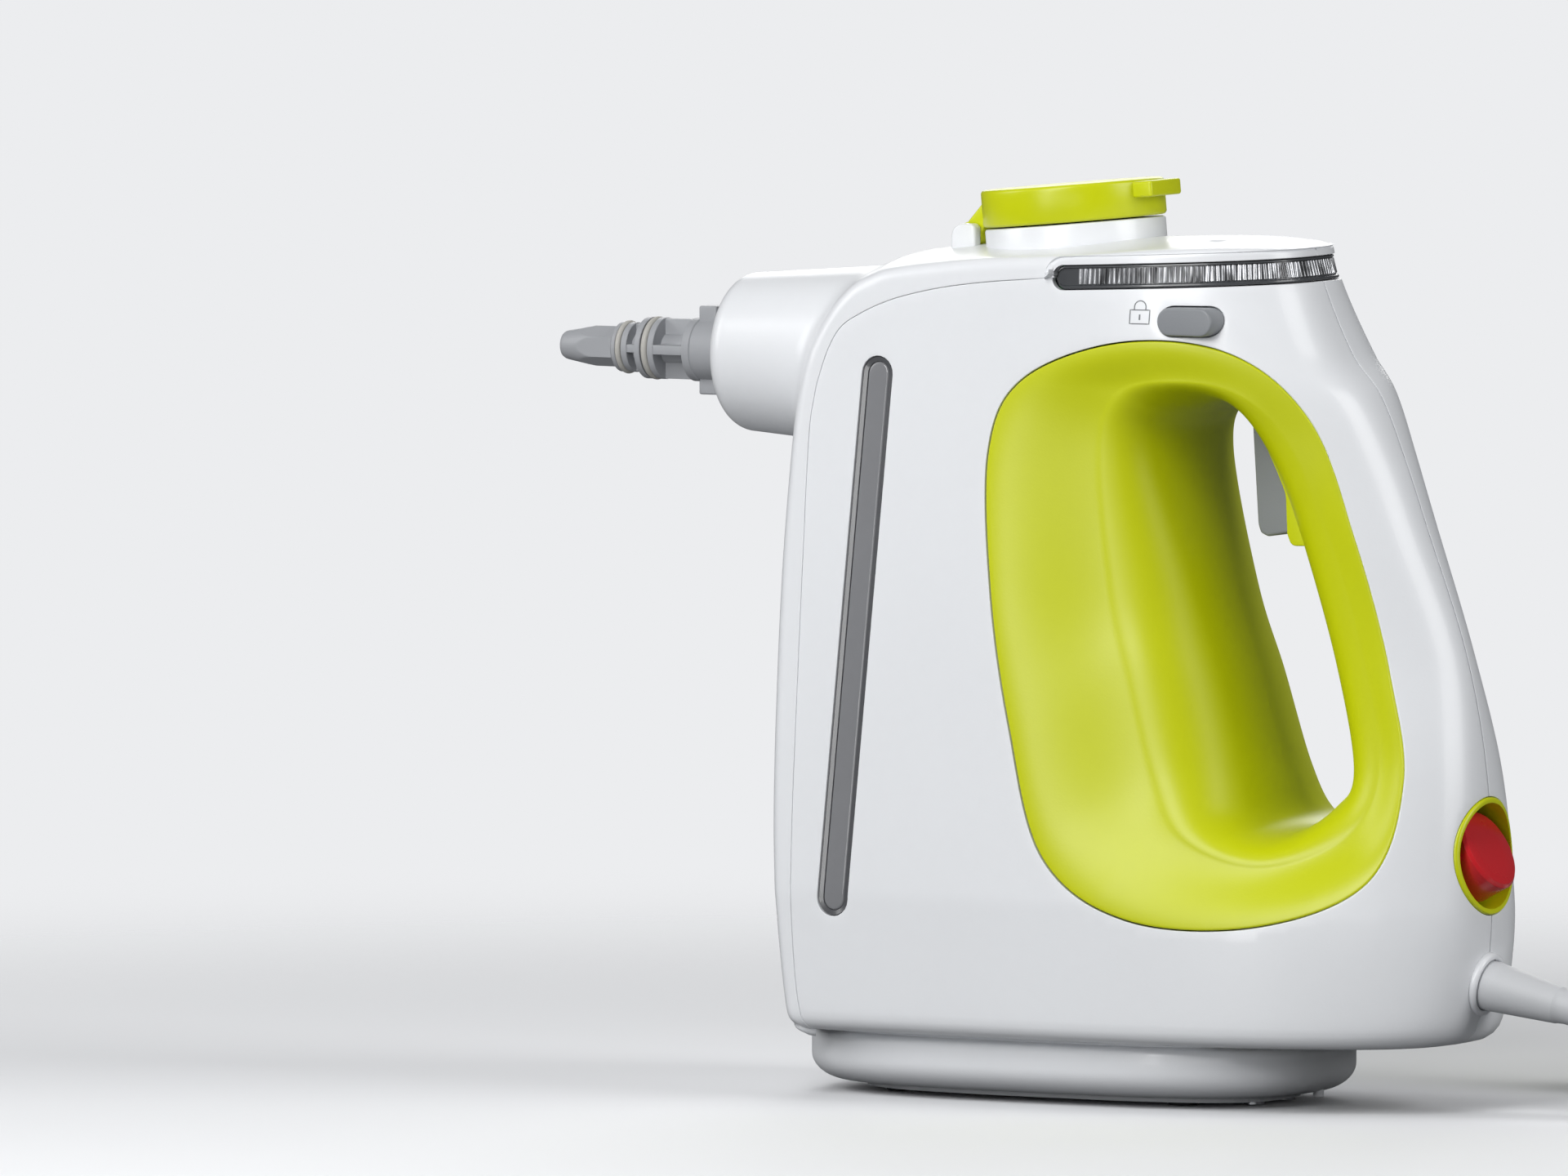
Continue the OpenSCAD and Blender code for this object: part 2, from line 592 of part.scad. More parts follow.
module band(t0, t1) {
  q0 = q_of(band_front_x, band_z);
  steps = 14;
  loft(concat(
    [for (k = [0 : steps - 1]) band_ring(q0 + (1 - q0) * k / steps, 1, t0, t1)],
    [for (k = [steps : -1 : 0]) band_ring(q0 + (1 - q0) * k / steps, -1, t0, t1)]));
}

module light_band() {
  color([0.75, 0.76, 0.78]) band(0.3, band_t);
}

module led_board() {
  color([0.1, 0.35, 0.15]) band(band_t + 0.2, band_t + 1.6);
}

// ---------- the level window ----------
window_low = [-54.8, 53.5];
window_high = [-46, 216];
function window_ring(v, gap, through) =
  let (half = window_w / 2 + gap, l = window_high[1] - window_low[1], s = l * v,
       round_in = min(s, l - s) + half * 0.15, w = round_in < half
         ? half * sqrt(1 - pow(1 - round_in / half, 2)) : half,
       x = window_low[0] + (window_high[0] - window_low[0]) * v,
       z = window_low[1] - gap + (l + 2 * gap) * v, y = skin(x / front_l, z)[1])
  [[x - w, y - (through > 0 ? through : 0.2), z], [x - w, y + max(window_t, through), z],
   [x + w, y + max(window_t, through), z], [x + w, y - (through > 0 ? through : 0.2), z]];

module window_body(gap, through) {
  loft([for (v = [0, 0.01, 0.03, 0.1, 0.25, 0.4, 0.55, 0.7, 0.85, 0.97, 0.99, 1])
    window_ring(v, gap, through)]);
}

module tank_window() {
  color(dark) window_body(0, 0);
}

// ---------- trigger and lock ----------
module lock_shape(gap, y0, y1) {
  h = lock_h / 2 + gap;
  w = lock_l / 2 - lock_h / 2;
  for (s = [-1, 1]) rod(lock_x + s * w, lock_z, h, y0, y1);
  block([lock_x - w, y0, lock_z - h], [lock_x + w, y1, lock_z + h]);
}

module lock_bolt() {
  face = depth(lock_x, lock_z);
  color(grey) union() {
    lock_shape(0, 2 - face - lock_out, face - 1);
    lock_shape(-0.7, -face - lock_out, 3 - face - lock_out);
  }
}

module trigger() {
  color(grey) difference() {
    union() {
      plate_y([[59.5, 203.5], [59.4, 197], [61.2, 168.6], [62.1, 166.3], [64.4, 165.3], [77, 167.5],
        [83, 188], [76.5, trigger_z], [67.5, trigger_z], [66.5, 212]], -trigger_half_t, trigger_half_t);
      rod(trigger_x, trigger_z, trigger_pin_r + 3, -trigger_half_t, trigger_half_t);
    }
    rod(trigger_x, trigger_z, trigger_pin_r + run_gap, -20, 20);
  }
}

module trigger_pin() {
  color(steel) rod(trigger_x, trigger_z, trigger_pin_r, -18, 18);
}

guard_front = [[65.4, 191.5], [69.2, 184], [71.9, 178], [72.4, 166.5], [73.8, 163]];
guard_back = [[80.8, 163.2], [77.2, 175.5], [73.2, 185], [69.4, 192.5]];
function guard_outline(gap) = concat([guard_front[0] + [-gap, gap]],
  [for (i = [1 : 3]) guard_front[i] - [gap, 0]], [guard_front[4] - [gap, gap]],
  [guard_back[0] + [gap, -gap]], [for (i = [1 : 2]) guard_back[i] + [gap, 0]],
  [guard_back[3] + [gap, gap]]);

module trigger_guard() {
  color(lime) difference() {
    plate_y(guard_outline(0), -guard_half_w, guard_half_w);
    block([50, -trigger_half_t - trigger_gap, 164.4], [100, trigger_half_t + trigger_gap, 200]);
  }
}

spring_r = 3.5;
spring_wire_r = 0.45;
spring_turns = 5;
spring_x0 = 82.4;
spring_x1 = rear_x(196) - 8;
module trigger_spring() {
  x1 = spring_x1 - 0.3;
  color(steel) loft(tube_rings([for (k = [0 : 8 * spring_turns]) let (a = 45 * k)
    [spring_x0 + 0.5 + (x1 - spring_x0 - 1) * k / 8 / spring_turns, spring_r * cos(a),
     196 + spring_r * sin(a)]],
    spring_wire_r, 6, [1, 0, 0]));
}

module microswitch() {
  color(dark) {
    block([45, -5, 207.9], [58, 5, 217]);
    rod_x(213, 1.2, 57, 62.5);
  }
}

// ---------- the nozzle ----------
// Distances from the tip to the rear, and the radius there
module nozzle() {
  l = nozzle_tip_x - bulkhead_x + 12;
  color(grey) difference() {
    translate([-nozzle_tip_x, 0, nozzle_z]) rotate([0, 90, 0]) union() {
      rotate_extrude() polygon([[0, 0], [nozzle_tip_r - 1, 0], [nozzle_tip_r, 1], [5.9, 10.5],
        [6, 18.5], [land_r, 19.5], [land_r, 20.8], [land_r - 1.2, 20.8], [land_r - 1.2, 22.8],
        [land_r, 22.8], [land_r, 24.8], [4, 24.8], [4, 28], [rear_land_r, 28.4], [rear_land_r, 30.2],
        [rear_land_r - 1.8, 30.2], [rear_land_r - 1.8, 32.8], [rear_land_r, 32.8], [rear_land_r, 34.8],
        [4.4, 34.8], [4.4, 44.5], [collar_r, 44.5], [collar_r, 47], [collar_r - 0.3, 47.2],
        [collar_r - 0.3, l - 18], [nozzle_hole_r, l - 18],
        [nozzle_hole_r, l], [0, l]]);
      for (a = [0, 90]) rotate(a) {
        translate([-1.2, 0.3 - land_r, 24]) cube([2.4, 2 * land_r - 0.6, 5]);
        translate([-1.4, 0.2 - rear_land_r, 34]) cube([2.8, 2 * rear_land_r - 0.4, 11]);
      }
      for (s = [-1, 1]) translate([s * (lug_span / 2 - 3), 0, 50]) cube([6, 6, 6], center = true);
    }
    rod_x(nozzle_z, steam_bore_r, -nozzle_tip_x - 1, -70);
  }
}

module o_ring(r, wire, x) {
  translate([x, 0, nozzle_z]) rotate([0, 90, 0]) rotate_extrude() translate([r, 0])
    circle(r = wire, $fn = 24);
}

module nozzle_o_rings() {
  color(dark) {
    o_ring(land_r - 0.3, 0.85, -nozzle_tip_x + 21.8);
    o_ring(rear_land_r - 0.75, 1, -nozzle_tip_x + 31.5);
  }
}

pipe_x = 72;
pipe_r = 3;
module steam_pipe() {
  color(steel) loft(tube_rings(concat([[-60.3, 0, 40], [-64, 0, 40]],
    [for (a = [0 : 18 : 90]) [-64 - 8 * sin(a), 0, 48 - 8 * cos(a)]],
    [for (z = [90, 140, 190]) [-pipe_x, 0, z]],
    [for (a = [0 : 22.5 : 90]) [-pipe_x - 5 + 5 * cos(a), 0, nozzle_z - 5 + 5 * sin(a)]],
    [[0.2 - bulkhead_x + 12, 0, nozzle_z]]), pipe_r, 12, [0, 1, 0]));
}

// ---------- the water side ----------
tank_wall = 2.2;
tank_x0 = -60;
tank_x1 = -8;
tank_z0 = 60;
tank_z1 = 236;
head_x1 = 22;
head_z0 = 203;

tank_low_w = body_half_w - 11;
tank_high_w = head_half_w - 5.5;

module tank_body(t) {
  taper_block([tank_x0 + t, tank_x1 - t, tank_low_w - t, tank_z0 + t],
    [tank_x0 + t, tank_x1 - t, tank_high_w - t, head_z0 + 2 * t]);
}

module tank_head(t) {
  w = tank_high_w - 0.5 - t;
  block([tank_x0 + t, -w, head_z0 + t], [head_x1 - t, w, tank_z1 - 10 - t]);
  block([-44 + t, 2 - w, tank_z1 - 12 - t], [head_x1 - t, w - 2, tank_z1 - t]);
}

module water_tank() {
  color([0.75, 0.8, 0.85]) difference() {
    tank_body(0);
    tank_body(tank_wall);
    block([tank_x0 - 1, -60, head_z0], [tank_x1 + 1, 60, tank_z1]);
    rod_x(hose_z, hose_r + 0.3, tank_x1 - 4, tank_x1 + 4);
  }
}

// Upper half of the tank, welded onto the lower one, with the neck
module tank_cover() {
  color([0.75, 0.8, 0.85]) difference() {
    union() {
      tank_head(0);
      cap_frame() translate([0, 0, -23]) cylinder(r = neck_r, h = 21.4);
    }
    tank_head(tank_wall);
    block([tank_x0 + tank_wall, -tank_high_w + tank_wall + 0.5, head_z0 - 1],
      [tank_x1 - tank_wall, tank_high_w - tank_wall - 0.5, head_z0 + 3]);
    cap_frame() translate([0, 0, -26]) cylinder(r = neck_bore_r, h = 30);
  }
}

hose_r = 3.5;
hose_z = 70.2;
module water_hoses() {
  color([0.85, 0.85, 0.82]) {
    loft(tube_rings(curve([[-10, 0, hose_z], [0, 0, hose_z], [9, 0, hose_z], [16, 0, 67], [18.2, 0, 60],
      [19, 0, 53.5], [21, 0, 50.4], [23.7, 0, 50.2]], 2), hose_r, 10, [0, 1, 0]));
    loft(tube_rings(curve([[23.8, 0, 36], [18, 0, 36], [14.2, 0, 36]], 2), hose_r, 10, [0, 1, 0]));
  }
}

module pump() {
  color(dark) {
    rod_x(43, 16, 24, 60);
    rod_x(43, 12, 58, 84);
    for (x = [30, 54]) block([x - 3, -21, 26], [x + 3, 21, 31]);
  }
}

pump_feet = [[30, 17], [30, -17], [54, 17], [54, -17]];
module pump_mounts() {
  color(dark) for (p = pump_feet) translate([p[0], p[1], boiler_z - 3]) cylinder(r = 3.5, h = 5);
}

boiler_z = 24;
boiler_posts = [[-46, 22], [-46, -22], [4, 22], [4, -22]];
module boiler() {
  color([0.66, 0.67, 0.68]) {
    block([-60, -34, boiler_z], [14, 34, 52]);
    block([-50, -26, 50], [-14, 26, 59.7]);
  }
}

module thermostat() {
  color(steel) translate([5, 14, 52]) cylinder(r = 7, h = 5);
}

module thermal_fuse() {
  color(steel) translate([0, -14, 54.2]) rotate([0, 90, 0]) cylinder(r = 2.2, h = 13, center = false);
}

// ---------- the base ----------
plate_z = foot_h;
post_r = 4;
module bottom_plate() {
  color([0.85, 0.85, 0.86]) {
    difference() {
      plinth_plate(plate_inset, plate_z, plate_z + plate_t);
      for (x = [-base_x, base_x], y = [-base_y, base_y]) translate([x, y, 0])
        cylinder(r = screw_r + 0.2, h = 8);
    }
    posts(boiler_posts, post_r, boiler_z);
    posts(pump_feet, post_r, boiler_z - 3);
    posts(board_points, 2.5, board_z);
  }
}

// Posts on the bottom plate up to a height
module posts(points, r, z) {
  for (p = points) translate([p[0], p[1], plate_z + 1]) cylinder(r = r, h = z - plate_z - 1);
}

foot_points = [[44, 19], [44, -19], [-52, 16], [-52, -16]];
module feet() {
  color([0.25, 0.25, 0.26]) for (p = foot_points) translate([p[0], p[1], 0]) cylinder(r = foot_r, h = foot_h);
}

module base_screws() {
  color(steel) for (x = [-base_x, base_x], y = [-base_y, base_y]) translate([x, y, 0]) {
    translate([0, 0, foot_h - 0.9]) cylinder(r = screw_head_r, h = 0.9);
    translate([0, 0, foot_h - 0.2]) cylinder(r = screw_r, h = 13);
  }
}

board_z = 8;
board_points = [[-16, 9], [-16, -9], [52, 9], [52, -9]];
module control_board() {
  color([0.1, 0.35, 0.15]) {
    block([-20, -12.5, board_z], [56, 12.5, board_z + 1.6]);
    block([0, -10, board_z + 1], [18, 8, board_z + 10]);
    block([30, -11, board_z + 1], [44, 6, board_z + 8]);
  }
}

module terminal_block() {
  color([0.9, 0.9, 0.86])
    block([rear_reach - 47.8, 20, plinth_top + wall], [rear_reach - 29.8, 32, plinth_top + wall + 7.5]);
}

// ---------- power switch ----------
bezel_depth = 18;
bezel_floor_t = 2;
switch_x = rear_x(switch_z);
pivot_x = switch_x - 4.6;
rocker_out = 4.7;

// Ring of points round the switch; with a lip it lies that far outside the housing's skin
function bezel_ring(r, x, lip = 0) =
  [for (k = [0 : 47]) let (y = r * cos(7.5 * k), z = switch_z + r * sin(7.5 * k))
    [lip > 0 ? skin_x(y, z) + lip : x, y, z]];

module switch_bezel() {
  color(lime) difference() {
    loft([bezel_ring(bezel_r, switch_x - bezel_depth), bezel_ring(bezel_r, 0, 0.1),
      bezel_ring(bezel_r - 0.5, 0, 0.5), bezel_ring(bezel_bore_r - 1, 0, 0.5)]);
    rod_x(switch_z, bezel_bore_r, switch_x - bezel_depth + bezel_floor_t, switch_x + 5);
    rod_x(switch_z, 8.1, switch_x - bezel_depth - 1, switch_x);
    rod(pivot_x, switch_z, trunnion_r + run_gap, -bezel_bore_r - 1.2, bezel_bore_r + 1.2);
  }
}

module power_rocker() {
  color([0.75, 0.12, 0.14]) translate([pivot_x, 0, switch_z]) rotate([0, -rocker_tilt, 0]) {
    translate([-6, 0, 0]) rotate([0, 90, 0]) cylinder(r = rocker_r, h = rocker_out + 5.2);
    translate([rocker_out - 0.8, 0, 0]) rotate([0, 90, 0])
      cylinder(r1 = rocker_r, r2 = rocker_r - 0.8, h = 0.8);
    rod(0, 0, trunnion_r, -bezel_bore_r - 1, bezel_bore_r + 1);
  }
}

module switch_body() {
  color(dark) {
    rod_x(switch_z, 7.9, switch_x - bezel_depth - 1, switch_x - bezel_depth + bezel_floor_t + 0.2);
    block([switch_x - bezel_depth - 14, -11, switch_z - 9], [switch_x - bezel_depth, 11, switch_z + 9]);
  }
}

// ---------- cord ----------
// Local Z runs out along the cord; Z = 0 is the housing's rear
module cord_frame() {
  translate([rear_x(cord_z), 0, cord_z]) rotate([0, 90 + cord_drop, 0]) children();
}

module strain_relief() {
  bore = cord_d / 2 + 0.02;
  color(grey) cord_frame() rotate_extrude() polygon([[bore, -6.8], [relief_r + 1.1, -6.8],
    [relief_r + 1.1, -4.6], [relief_r, -4.6], [relief_r, 3], [5.4, 25], [4.9, 27.5], [4.7, relief_l - 1],
    [4.3, relief_l], [bore, relief_l]]);
}

module cord_clamp() {
  color([0.9, 0.9, 0.86]) difference() {
    block([rear_reach - 31.8, -12, plinth_top + wall], [rear_reach - 21.8, 12, 52]);
    cord_frame() translate([0, 0, -60]) cylinder(r = cord_d / 2 + 0.1, h = 60);
  }
}

// Where the cord leaves the strain relief, and the way that it points there
exit_dir = [cos(cord_drop), 0, -sin(cord_drop)];
exit_at = [rear_x(cord_z), 0, cord_z] + exit_dir * relief_l;
inner_end = [rear_x(cord_z), 0, cord_z] - exit_dir * 30;
lie = cord_d / 2;

// The coil spirals in and out in layers and climbs in the half turn round each reversal
coil_at = [248, coil_r];
coil_start_a = -90;
coil_layers = 4;
coil_pitch = cord_d + coil_gap;
tie_t = 0.7;
coil_lie = lie + tie_t + 0.1;
coil_turns = coil_layers * coil_loops - 0.5;
function ease(s) = let (c = min(max(s, 0), 1)) c * c * (3 - 2 * c);
function coil_radius(turn) =
  let (t = turn % (2 * coil_loops)) coil_r - coil_pitch * min(t, 2 * coil_loops - t);
function coil_height(turn, k = 1) = k == coil_layers ? coil_lie
  : coil_pitch * ease((turn - k * coil_loops) * 2 + 0.5) + coil_height(turn, k + 1);
function coil_point(turn) = let (a = coil_start_a + 360 * turn)
  [coil_at[0] + coil_radius(turn) * cos(a), coil_at[1] + coil_radius(turn) * sin(a), coil_height(turn)];
coil_points = [for (k = [0 : 24 * coil_turns]) coil_point(k / 24)];
echo(coil_gap = min([for (i = [0 : len(coil_points) - 24], j = [i + 12 : min(i + 150, len(coil_points) - 1)])
  norm(coil_points[i] - coil_points[j])]) - cord_d);

// The free stretch, from the strain relief down to the floor and along it to the coil
free_points = [exit_at, [190, 0, 25], [203, 0, 17.8], [214, 0, 10.3], [224.5, 0, 5.6], [236, 0, 4.1],
  coil_points[0]];
// The tail, from the coil's top to the plug
plug_turn = 188;
plug_dir = [cos(plug_turn), sin(plug_turn), 0];
plug_head_r = 18.8;
coil_end = coil_points[len(coil_points) - 1];
plug_at = [coil_end[0] - 47, coil_end[1] - 1.7, plug_head_r];
tail_points = [coil_end, coil_end + [-11, 0, 0], coil_end + [-22, -0.1, -1.4],
  coil_end + [-34, -0.6, -5.4], plug_at];

module cord_tube() {
  color([0.75, 0.76, 0.77]) loft(tube_rings(concat([inner_end, exit_at - exit_dir * 8],
    curve(free_points, 3)), lie, 10, [0, 1, 0]));
}

module cord_coil() {
  color([0.75, 0.76, 0.77]) loft(tube_rings(concat(coil_points,
    [for (p = curve(tail_points, 3)) if (p != coil_end) p]),
    lie, 6, [0, 0, 1]));
}

// Strap round the coil, half a turn from where the coil starts
module cord_tie() {
  r0 = coil_radius(coil_loops - 0.5) - lie - 0.7;
  r1 = coil_radius(0.5) + lie + 0.3;
  h = coil_lie + (coil_layers - 1) * coil_pitch + lie + 0.3;
  color([0.1, 0.1, 0.1]) translate([coil_at[0], coil_at[1], 0]) rotate(coil_start_a + 180) difference() {
    block([r0 - tie_t, -4, 0], [r1 + tie_t, 4, h + tie_t]);
    block([r0, -5, tie_t], [r1, 5, h]);
  }
}

// Local Z runs from the cord's end to the plug's pins
module plug_frame() {
  translate(plug_at) rotate([0, 0, plug_turn]) rotate([0, 90, 0]) children();
}

plug_l = 56;
plug_pin_r = 2.4;
plug_pin_l = 19;
module plug_body() {
  color([0.75, 0.76, 0.77]) difference() {
    plug_frame() rotate_extrude() polygon([[0, 0.1], [cord_d / 2 + 1, 0.1], [7, 20], [12.5, 24],
      [13.5, 40], [plug_head_r - 1, 45], [plug_head_r, 46.5], [plug_head_r, plug_l - 1],
      [plug_head_r - 1, plug_l], [0, plug_l]]);
    pins(plug_l - 10);
  }
}

module pins(from) {
  plug_frame() for (s = [-1, 1]) translate([0, s * 9.5, from])
    cylinder(r = plug_pin_r, h = plug_l - from + plug_pin_l);
}

module plug_pins() {
  color(steel) pins(plug_l - 10);
}

left_shell();
right_shell();
spine_cover();
color(lime) liner_half();  // left_handle_liner
color(lime) mirror([0, 1, 0]) liner_half();  // right_handle_liner
light_band();
led_board();
tank_window();
filler_cap();
cap_seal();
hinge_pin();
lock_bolt();
trigger();
trigger_pin();
trigger_spring();
trigger_guard();
microswitch();
nozzle();
nozzle_o_rings();
nozzle_nut();
steam_pipe();
water_tank();
tank_cover();
water_hoses();
pump();
pump_mounts();
boiler();
thermostat();
thermal_fuse();
switch_bezel();
power_rocker();
switch_body();
control_board();
terminal_block();
cord_clamp();
bottom_plate();
feet();
case_screws();
base_screws();
strain_relief();
cord_tube();
cord_coil();
cord_tie();
plug_body();
plug_pins();
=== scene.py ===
# %% [markdown]
# # A hand-held steam cleaner
#
# The frame holds the plain solids of the steamer. This script dresses them: it makes the visible
# mouldings again with rounded edges and fine detail, lays the cord, and gives every surface a
# material built from nodes. Lengths in the helper functions are in millimetres, X runs to the rear,
# Z runs up, and the left side is -Y, which is the side that faces the camera.

import json
import math

import bmesh
import bpy
import numpy as np
from mathutils import Matrix, Vector, geometry
from mathutils.bvhtree import BVHTree

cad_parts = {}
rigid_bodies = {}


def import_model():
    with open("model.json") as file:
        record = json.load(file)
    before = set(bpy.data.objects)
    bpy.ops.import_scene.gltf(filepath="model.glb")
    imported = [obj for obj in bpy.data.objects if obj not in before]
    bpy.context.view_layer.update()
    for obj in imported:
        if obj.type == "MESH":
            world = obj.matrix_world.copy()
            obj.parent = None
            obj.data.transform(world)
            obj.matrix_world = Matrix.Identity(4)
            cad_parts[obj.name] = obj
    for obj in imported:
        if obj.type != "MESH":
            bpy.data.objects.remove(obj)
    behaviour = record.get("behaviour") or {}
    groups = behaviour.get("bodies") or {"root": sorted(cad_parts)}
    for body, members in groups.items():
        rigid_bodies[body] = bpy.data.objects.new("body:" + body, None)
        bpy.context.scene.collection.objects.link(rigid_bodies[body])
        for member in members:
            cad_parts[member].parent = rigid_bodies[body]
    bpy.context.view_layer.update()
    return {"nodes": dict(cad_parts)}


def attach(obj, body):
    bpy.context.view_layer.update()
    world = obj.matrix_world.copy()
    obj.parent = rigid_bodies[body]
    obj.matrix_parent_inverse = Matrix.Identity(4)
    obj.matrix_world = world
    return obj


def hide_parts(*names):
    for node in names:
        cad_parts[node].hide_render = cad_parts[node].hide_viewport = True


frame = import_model()
nodes = frame["nodes"]
scene = bpy.context.scene
MM = 0.001

# %% [markdown]
# ## Camera
# A long lens, turned 30 degrees round the object and 4 degrees above the floor, so that the left
# side and the rear show. The picture takes in 459 mm at the object's own distance.

# %% Camera
VIEW_TURN = math.radians(30)
VIEW_RISE = math.radians(4)
VIEW_CENTRE = Vector((-0.1009, 0.0, 0.1442))
VIEW_WIDTH = 0.459
LENS = 800.0
SENSOR = 36.0

back = Vector((
    math.sin(VIEW_TURN) * math.cos(VIEW_RISE),
    -math.cos(VIEW_TURN) * math.cos(VIEW_RISE),
    math.sin(VIEW_RISE),
))
camera = bpy.data.objects.new("camera", bpy.data.cameras.new("camera"))
scene.collection.objects.link(camera)
camera.data.lens = LENS
camera.data.sensor_width = SENSOR
camera.data.clip_end = 100
camera.location = VIEW_CENTRE + back * (VIEW_WIDTH * LENS / SENSOR)
camera.rotation_euler = back.to_track_quat("Z", "Y").to_euler()
scene.camera = camera
print("camera stands", round(VIEW_WIDTH * LENS / SENSOR, 3), "m away")

# %% [markdown]
# ## Meshes
# Small functions that every later cell uses: a smooth curve through the rows of a table, a mesh
# from points, a tube along a path, and a turned profile.


# %% Mesh helpers
def table_curve(rows):
    """A smooth curve through (key, value) rows; each slope comes from the row's neighbours."""
    keys, values = (np.array(column, float) for column in zip(*rows))
    last = len(keys) - 1
    before = np.maximum(np.arange(last + 1) - 1, 0)
    after = np.minimum(np.arange(last + 1) + 1, last)
    slopes = (values[after] - values[before]) / (keys[after] - keys[before])

    def at(key):
        key = np.asarray(key, float)
        i = np.clip(np.searchsorted(keys, key, side="right") - 1, 0, last - 1)
        h = keys[i + 1] - keys[i]
        s = (key - keys[i]) / h
        a, b = values[i], values[i + 1]
        ma, mb = slopes[i] * h, slopes[i + 1] * h
        return a + s * (ma + s * (3 * (b - a) - 2 * ma - mb + s * (2 * (a - b) + ma + mb)))

    return at


def between(a, b, c, d, s):
    """A point from b (s = 0) to c (s = 1) on the smooth curve through four points."""
    return b + s / 2 * (c - a + s * (2 * a - 5 * b + 4 * c - d + s * (3 * b - 3 * c + d - a)))


def bend(a, b, c, k):
    """A point from a (k = 0) to c (k = 1) on the curve that b pulls towards itself."""
    return a * (1 - k) ** 2 + b * 2 * k * (1 - k) + c * k * k


def make(name, points, faces, sharp=35):
    """A mesh object from points in millimetres, with its normals outward."""
    mesh = bpy.data.meshes.new(name)
    mesh.from_pydata((np.asarray(points, float) * MM).tolist(), [], [list(map(int, f)) for f in faces])
    bm = bmesh.new()
    bm.from_mesh(mesh)
    bmesh.ops.remove_doubles(bm, verts=bm.verts, dist=1e-6)
    bmesh.ops.recalc_face_normals(bm, faces=bm.faces)
    bm.to_mesh(mesh)
    bm.free()
    mesh.shade_smooth()
    mesh.set_sharp_from_angle(angle=math.radians(sharp))
    obj = bpy.data.objects.new(name, mesh)
    scene.collection.objects.link(obj)
    return obj


def grid_faces(rows, columns, wrap_rows=False, wrap_columns=False, first=0):
    """Quads over a grid of points that are listed row by row."""
    faces = []
    for i in range(rows if wrap_rows else rows - 1):
        for j in range(columns if wrap_columns else columns - 1):
            a, b = i * columns, (i + 1) % rows * columns
            k = (j + 1) % columns
            faces.append((first + a + j, first + a + k, first + b + k, first + b + j))
    return faces


def strip_faces(rows, columns):
    """Quads round a row of closed sections, with a cap at each end."""
    last = (rows - 1) * columns
    caps = [list(range(columns)), list(range(last, last + columns))]
    return grid_faces(rows, columns, wrap_columns=True) + caps


def prism_faces(n):
    """The faces of a plate between an outline of n points and its copy."""
    sides = [(k, (k + 1) % n, n + (k + 1) % n, n + k) for k in range(n)]
    return [list(range(n)), list(range(n, 2 * n))] + sides


def join(name, *objects):
    """One mesh object from several, with their materials."""
    for obj in bpy.context.view_layer.objects:
        obj.select_set(False)
    for obj in objects:
        obj.select_set(True)
    bpy.context.view_layer.objects.active = objects[0]
    bpy.ops.object.join()
    objects[0].name = name
    objects[0].data.name = name
    return objects[0]


def mirrored(obj, name):
    """A copy of the object on the other side of the middle plane."""
    copy = obj.copy()
    copy.data = obj.data.copy()
    copy.name = name
    scene.collection.objects.link(copy)
    bm = bmesh.new()
    bm.from_mesh(copy.data)
    bmesh.ops.scale(bm, vec=(1, -1, 1), verts=bm.verts)
    bmesh.ops.reverse_faces(bm, faces=bm.faces)
    bm.to_mesh(copy.data)
    bm.free()
    return copy


def applied(obj):
    """The object's mesh as its modifiers leave it."""
    bpy.context.view_layer.update()
    return bpy.data.meshes.new_from_object(obj.evaluated_get(bpy.context.evaluated_depsgraph_get()))


def cut(obj, *tools):
    """Cuts the tools out of the object and removes them."""
    for tool in tools:
        modifier = obj.modifiers.new("cut", "BOOLEAN")
        modifier.operation = "DIFFERENCE"
        modifier.solver = "EXACT"
        modifier.object = tool
        result = applied(obj)
        obj.modifiers.clear()
        obj.data = result
        bpy.data.objects.remove(tool)
    return obj


def rounded(obj, width, segments=3, angle=30, sharp=40):
    """Rounds every edge of the object that is sharper than the angle; width in millimetres."""
    modifier = obj.modifiers.new("round", "BEVEL")
    modifier.width = width * MM
    modifier.segments = segments
    modifier.limit_method = "ANGLE"
    modifier.angle_limit = math.radians(angle)
    modifier.harden_normals = False
    result = applied(obj)
    obj.modifiers.clear()
    obj.data = result
    obj.data.shade_smooth()
    obj.data.set_sharp_from_angle(angle=math.radians(sharp))
    return obj


def tube(name, path, radius, sides=16):
    """A round tube along a path; its section is carried along without twisting."""
    path = np.asarray(path, float)
    tangents = np.gradient(path, axis=0)
    tangents /= np.linalg.norm(tangents, axis=1)[:, None]
    normal = np.cross(tangents[0], [0.3, 0.5, 0.8])
    normal /= np.linalg.norm(normal)
    radius = np.broadcast_to(radius, len(path))
    turns = np.linspace(0, 2 * np.pi, sides, endpoint=False)
    points = []
    for centre, along, r in zip(path, tangents, radius):
        normal = normal - along * normal.dot(along)
        normal /= np.linalg.norm(normal)
        across = np.cross(along, normal)
        points.extend(centre + r * (math.cos(a) * normal + math.sin(a) * across) for a in turns)
    return make(name, points, strip_faces(len(path), sides))


def turned(name, profile, steps=96, place=None, sharp=35, shape=None):
    """A profile of (radius, height) points turned round Z; place moves the points where they go.
    shape gives the radius a factor from the turn and the height."""
    turns = np.linspace(0, 2 * np.pi, steps, endpoint=False)
    points = []
    for a in turns:
        for r, h in profile:
            k = r if shape is None else shape(r, a, h)
            points.append((k * math.cos(a), k * math.sin(a), h))
    faces = grid_faces(steps, len(profile), wrap_rows=True)
    points = np.array(points)
    if place is not None:
        points = place(points)
    return make(name, points, faces, sharp)


